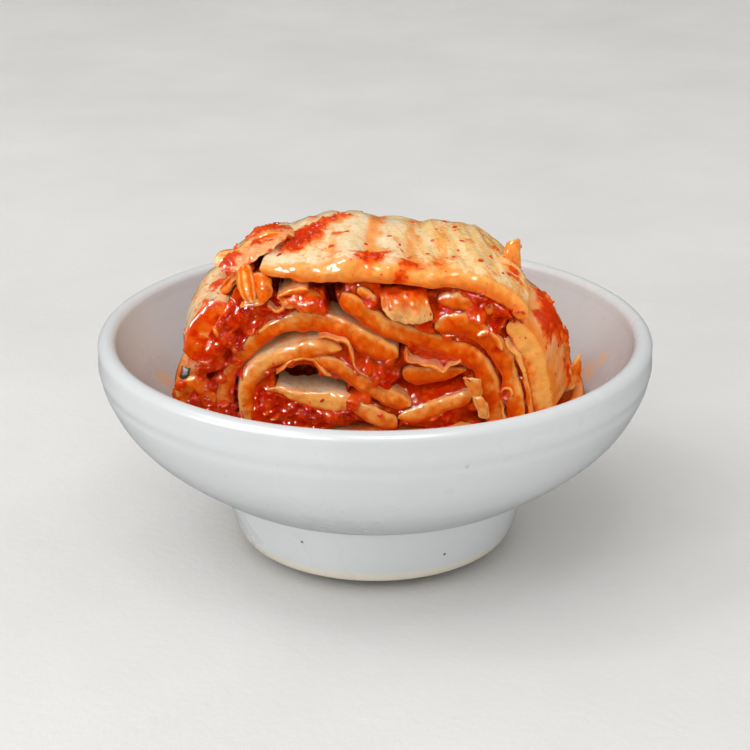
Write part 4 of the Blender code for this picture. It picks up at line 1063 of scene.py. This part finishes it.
def lay_flakes(name, shots, seed, size=(0.5, 1.7), lift=0.05):
    """Drops flakes along rays onto whatever they meet: shots are (origin, direction) in metres."""
    from mathutils import Vector
    rng = np.random.default_rng(seed)
    scene = bpy.context.scene
    graph = bpy.context.evaluated_depsgraph_get()
    centres, turns, radii, tints = [], [], [], []
    for origin, direction in shots:
        hit, place, normal, _, obj, _ = scene.ray_cast(graph, Vector(origin), Vector(direction))
        if not hit or not obj.name.startswith(("fine_", "sauce_")):
            continue
        if normal.dot(Vector(direction)) > 0:
            normal = -normal
        tilt = Vector(rng.normal(0, 0.22, 3))
        up = (normal + tilt).normalized()
        across = up.orthogonal().normalized()
        spin = rng.uniform(0, math.tau)
        first = across * math.cos(spin) + up.cross(across) * math.sin(spin)
        second = up.cross(first)
        turns.append(np.array([first, second, up]).T)
        width = size[0] + (size[1] - size[0]) * rng.uniform() ** 2.2
        radii.append((width, width * rng.uniform(0.45, 0.9), rng.uniform(0.14, 0.24)))
        centres.append(np.array(place) / MM + np.array(normal) * lift)
        shade = rng.uniform()
        tints.append(mix(np.array([0.95, 0.075, 0.003]), np.array([0.62, 0.012, 0.001]), shade))
    verts, faces = chip_shape()
    count = len(verts)
    verts, faces = scatter_shapes(verts, faces, np.array(centres), np.array(radii), np.array(turns))
    obj = make_mesh(name, verts, faces, np.repeat(np.array(tints), count, axis=0), smooth=False)
    obj.data.materials.append(FLAKE_MATERIAL)
    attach(obj, "root")
    return obj


# Single large flakes on the top leaf: x, y.
TOP_FLAKES = [(12.7, -13.0), (14.1, -2.0), (21.6, -2.0), (-10.5, -12.6), (3.5, -4.0), (-2.2, -10.0), (-13.0, 4.0),
              (6.0, -9.5), (20.4, -8.0), (8.0, -17.5), (25.5, -15.0), (-4.5, -21.0), (15.5, 8.0), (2.0, 14.0), (28.5, -7.0),
              (-23.0, -17.0), (31.0, -15.0), (9.5, 15.0), (-16.0, 15.0), (18.0, 17.5)]


def build_flakes():
    rng = np.random.default_rng(5)
    down = (0.0, 0.0, -1.0)
    lay_flakes("flakes_large", [((x * MM, y * MM, 0.12), down) for x, y in TOP_FLAKES for _ in (0, 1)], 50,
               size=(1.2, 2.6))
    top_shots = []
    for _ in range(16):
        x, y = rng.uniform(-40, 44), rng.uniform(-27, 21)
        top_shots.append(((x * MM, y * MM, 0.12), down))
    for x, y, z, radius, amount in TOP_SPOTS:
        for _ in range(int(1.6 * radius * amount)):
            top_shots.append((((x + rng.normal(0, radius * 0.45)) * MM, (y + rng.normal(0, radius * 0.45)) * MM, 0.12),
                              down))
    lay_flakes("flakes_top", top_shots, 51, size=(0.5, 2.0))
    look = (0.0, math.cos(math.radians(20)), -math.sin(math.radians(20)))
    front_shots = []
    for _ in range(34):
        x, z = rng.uniform(-48, 42), rng.uniform(36, 78)
        front_shots.append(((x * MM, -0.08, z * MM + 0.02), look))
    for x, z, radius, amount in HEAPS:
        for _ in range(int(1.6 * radius * amount)):
            front_shots.append((((x + rng.normal(0, radius * 0.5)) * MM, -0.08,
                                 (z + rng.normal(0, radius * 0.5)) * MM + 0.02), look))
    lay_flakes("flakes_front", front_shots, 52, size=(0.4, 1.7))
    side_shots = []
    for turn in (-1, 1):
        for _ in range(26):
            y, z = rng.uniform(-24, 21), rng.uniform(44, 76)
            side_shots.append(((turn * 0.09, y * MM, z * MM + 0.01), (-turn * 0.96, 0.0, -0.28)))
    for _ in range(110):
        x, z = rng.uniform(-48, 46), rng.uniform(38, 78)
        side_shots.append(((x * MM, 0.08, z * MM + 0.02), (0.0, -look[1], look[2])))
    for _ in range(60):
        angle, reach = rng.uniform(0, math.tau), rng.uniform(26, 44)
        x, y = reach * math.cos(angle), reach * math.sin(angle)
        if abs(y) > 26 or abs(x) > 50:
            side_shots.append(((x * MM, y * MM, 0.12), down))
    lay_flakes("flakes_around", side_shots, 53, size=(0.5, 2.2))


# --- Bowl -----------------------------------------------------------------------
RIM_RADIUS = 70.0
BOWL_HEIGHT = 54.4
LIP_RADIUS = 2.4
CREASE_HEIGHT = 45.4
JUICE_HEIGHT = 26.2
JUICE_RADIUS = 41.9
OUTER_WALL = [(70.0, 50.8), (70.0, 46.4), (68.1, 40.4), (64.1, 33.4), (57.4, 26.4), (46.4, 18.3),
              (41.8, 17.1)]
FOOT_SIDE = [(41.8, 17.1), (40.6, 15.8), (39.9, 13.0), (38.5, 8.6), (36.3, 1.5)]
INNER_WALL = [(0.0, 22.0), (20.0, 22.3), (36.0, 24.0), (48.0, 28.5), (56.0, 35.0), (61.0, 42.0),
              (64.0, 48.0), (65.2, 51.2)]


# Iron specks and stains in the glaze: x, y, z, radius, colour.
IRON, MAUVE, JUICE = (0.06, 0.05, 0.05, 1), (0.55, 0.52, 0.55, 1), (0.80, 0.62, 0.45, 1)
GLAZE_MARKS = [(-17.8, -34.7, 10.7, 0.5, IRON), (-1.5, -39.8, 14.9, 0.6, IRON), (17.2, -34.0, 6.8, 0.45, IRON),
               (11.3, -36.5, 10.1, 0.35, IRON), (18.2, -55.0, 28.5, 0.8, MAUVE), (-24.0, -57.5, 32.5, 0.9, MAUVE),
               (20.3, -66.5, 45.5, 0.8, MAUVE), (-34.0, -59.0, 39.4, 0.9, MAUVE), (52.0, 40.0, 36.0, 0.6, IRON),
               (-20.0, 62.0, 38.0, 0.6, IRON), (-55.0, 10.0, 35.5, 4.4, JUICE), (59.6, 10.0, 41.0, 3.4, JUICE),
               (56.0, 12.0, 36.3, 4.2, JUICE)]


def glaze_material():
    """Cool white glaze, with a warm bare edge at the foot and iron specks."""
    m = Nodes("white_glaze")
    cloud = m.noise(28.0, 3.0)
    place = m.add("TexCoord").outputs["Object"]
    z = m.add("SeparateXYZ", {"Vector": place}).outputs["Z"]
    colour = m.mix(m.ramp(cloud, 0.35, 0.65), (0.665, 0.685, 0.695, 1), (0.635, 0.655, 0.665, 1))
    colour = m.mix(m.ramp(z, 0.0034, 0.0018), colour, (0.76, 0.71, 0.60, 1))
    ragged = m.noise(260.0, 4.0, rough=0.65, offset=0.5)
    for x, y, height, radius, shade in GLAZE_MARKS:
        centre = (x * MM, y * MM, height * MM)
        away = m.add("VectorMath", {0: place, 1: centre}, operation="DISTANCE").outputs["Value"]
        spread_out = 0.35 * radius * MM
        away = m.math("ADD", away, m.ramp(ragged, 0.3, 0.7, -spread_out, spread_out))
        colour = m.mix(m.ramp(away, radius * MM, 0.4 * radius * MM), colour, shade)
    normal = m.bump(m.noise(160.0, 2.0), 0.12, 0.0006)
    m.set(Base_Color=colour, Roughness=m.ramp(cloud, 0.3, 0.7, 0.24, 0.34), Normal=normal)
    m.set(Subsurface_Weight=0.06, Subsurface_Scale=0.002, Specular_IOR_Level=0.25, Coat_Weight=0.05, Coat_Roughness=0.10)
    return m.material


def build_bowl():
    """The bowl turned finely, with the slight unevenness of a thrown pot."""
    step = 1.1
    centre = np.array([RIM_RADIUS - LIP_RADIUS, BOWL_HEIGHT - LIP_RADIUS])
    turn = np.radians(np.linspace(170, 0, 14))
    lip = centre + LIP_RADIUS * np.stack([np.cos(turn), np.sin(turn)], -1)
    underside = np.array([(35.8, 0.6), (35.5, 0.15), (35.1, 0.0), (31.4, 0.0), (31.0, 0.15), (30.7, 0.6),
                          (29.6, 6.0), (28.6, 10.0), (26.0, 12.1), (15.0, 12.4), (0.0, 12.5)])
    profile = np.vstack([even_line(INNER_WALL, step)[0], lip[1:-1], even_line(OUTER_WALL, step)[0],
                         even_line(FOOT_SIDE, step)[0][1:], underside])
    r, z = profile[:, 0], profile[:, 1]
    around = 240
    angle = np.arange(around) * math.tau / around
    ring = np.stack([np.cos(angle), np.sin(angle)], -1)
    points = np.concatenate([r[:, None, None] * ring[None], np.repeat(z[:, None, None], around, 1)], -1)
    flat = points.reshape(-1, 3)
    lean = 0.16 * noise(flat, (60, 60, 60), 5).reshape(points.shape[:2])
    rings = 0.09 * noise(np.c_[z + 0.02 * r, 0 * z, 0 * z], (2.6, 1, 1), 6)[:, None]
    rings = rings - 0.35 * (np.exp(-((z - CREASE_HEIGHT) / 0.9) ** 2) * (r > 66))[:, None]
    standing = smoothstep(0.5, 3.0, points[..., 2])
    points[..., :2] *= (1 + (lean + rings)[..., None] * standing[..., None] / np.maximum(r, 20)[:, None, None])
    points[..., 2] += 0.10 * noise(flat, (50, 50, 50), 7).reshape(points.shape[:2]) * standing
    faces = grid_faces(len(r), around, wrap_columns=True)
    if normal_faces_in(points.reshape(-1, 3), faces):
        faces = faces[:, ::-1]
    obj = make_mesh("glazed_bowl", points, faces)
    obj.visible_glossy = False
    obj.data.materials.append(glaze_material())
    weld = obj.modifiers.new("weld", "WELD")
    weld.merge_threshold = 0.00001
    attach(obj, "root")
    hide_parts("bowl")
    return obj


def build_juice():
    """The shallow pool of red juice that the leaves stand in."""
    around = 160
    angle = np.arange(around) * math.tau / around
    edge = np.stack([np.cos(angle), np.sin(angle), 0 * angle], -1)
    points = []
    for share, z in ((0.0, 0.0), (0.5, 0.0), (0.85, 0.0), (0.96, -0.05), (0.99, -0.2), (1.0, -0.5), (0.97, -1.0),
                     (0.5, -1.0), (0.0, -1.0)):
        ring = edge * share * JUICE_RADIUS
        ring[:, 2] = JUICE_HEIGHT + z
        points.append(ring)
    points = np.array(points)
    flat = points.reshape(-1, 3)
    points[..., 2] += 0.10 * noise(flat, (6, 6, 6), 8).reshape(points.shape[:2])
    tone = np.clip(0.45 + 0.6 * fractal(flat, (8, 8, 8), 9), 0, 1)
    faces = grid_faces(len(points), around, wrap_columns=True)
    if normal_faces_in(points.reshape(-1, 3), faces):
        faces = faces[:, ::-1]
    obj = make_mesh("sauce_pool", points, faces, 0.5 * mix(SAUCE_BRIGHT, SAUCE, tone))
    obj.data.materials.append(SAUCE_MATERIAL)
    weld = obj.modifiers.new("weld", "WELD")
    weld.merge_threshold = 0.00001
    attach(obj, "root")


# --- Stage ------------------------------------------------------------------------
def build_stage():
    """A pale plaster table that runs back into a soft backdrop."""
    m = Nodes("plaster")
    cloud = m.noise(9.0, 4.0, rough=0.6)
    grit = m.noise(420.0, 4.0, rough=0.6, offset=0.2)
    colour = m.mix(m.ramp(cloud, 0.3, 0.7), (0.63, 0.62, 0.61, 1), (0.69, 0.685, 0.675, 1))
    m.set(Base_Color=colour, Roughness=0.75, Normal=m.bump(grit, 0.25, 0.0008))
    run = np.array([(-1.2, 0), (0.9, 0), (1.25, 0.05), (1.5, 0.25), (1.6, 0.6), (1.6, 1.6)]) * 1000
    line, _ = even_line(run, 60)
    across = np.linspace(-2200, 2200, 3)
    points = np.array([[(x, y, z) for x in across] for y, z in line])
    faces = grid_faces(len(line), len(across))
    obj = make_mesh("table", points, faces)
    obj.data.materials.append(m.material)
    obj.visible_glossy = False


def build_camera():
    data = bpy.data.cameras.new("camera")
    data.lens = 84.05
    data.sensor_width = 36.0
    data.clip_start = 0.01
    camera = bpy.data.objects.new("camera", data)
    elevation = math.radians(21.8)
    target = np.array([0.0, 0.0, 0.0407])
    camera.location = target + 0.45 * np.array([0, -math.cos(elevation), math.sin(elevation)])
    camera.rotation_euler = (math.pi / 2 - elevation, 0, 0)
    bpy.context.scene.collection.objects.link(camera)
    bpy.context.scene.camera = camera


def add_area(name, location, target, size, energy, colour=(1, 1, 1), gloss=False):
    from mathutils import Vector
    data = bpy.data.lights.new(name, "AREA")
    data.shape = "RECTANGLE"
    data.size, data.size_y = size
    data.energy = energy
    data.color = colour
    light = bpy.data.objects.new(name, data)
    light.location = location
    light.rotation_euler = (Vector(target) - Vector(location)).to_track_quat("-Z", "Y").to_euler()
    light.visible_diffuse = not gloss
    light.visible_glossy = gloss
    bpy.context.scene.collection.objects.link(light)


def build_light():
    world = bpy.data.worlds.new("studio")
    bpy.context.scene.world = world
    world.use_nodes = True
    background = world.node_tree.nodes["Background"]
    background.inputs["Color"].default_value = (1.0, 0.99, 0.975, 1.0)
    background.inputs["Strength"].default_value = 0.95
    world.cycles_visibility.glossy = False
    add_area("window", (-0.62, -0.40, 0.90), (0, 0, 0.04), (1.6, 1.6), 6.9)
    for name, place, side, energy in (("gleam_high", (-0.50, -0.12, 0.88), 0.16, 19.0),
                                      ("gleam_front", (-0.46, -0.66, 0.66), 0.17, 17.0),
                                      ("gleam_left", (-0.78, -0.42, 0.46), 0.15, 15.0),
                                      ("gleam_over", (0.10, -0.40, 0.92), 0.14, 16.0)):
        add_area(name, place, (0, 0, 0.05), (side, side), energy, gloss=True)


FLAKE_MATERIAL = flake_material()
build_stage()
build_bowl()
build_juice()
build_leaves()
build_pieces()
for side, at_back in (("front", False), ("back", True)):
    film = build_film("sauce_" + side, at_back)
    build_bits("bits_" + side, film, at_back)
build_flakes()
build_camera()
build_light()
bpy.context.scene.view_settings.view_transform = "Standard"
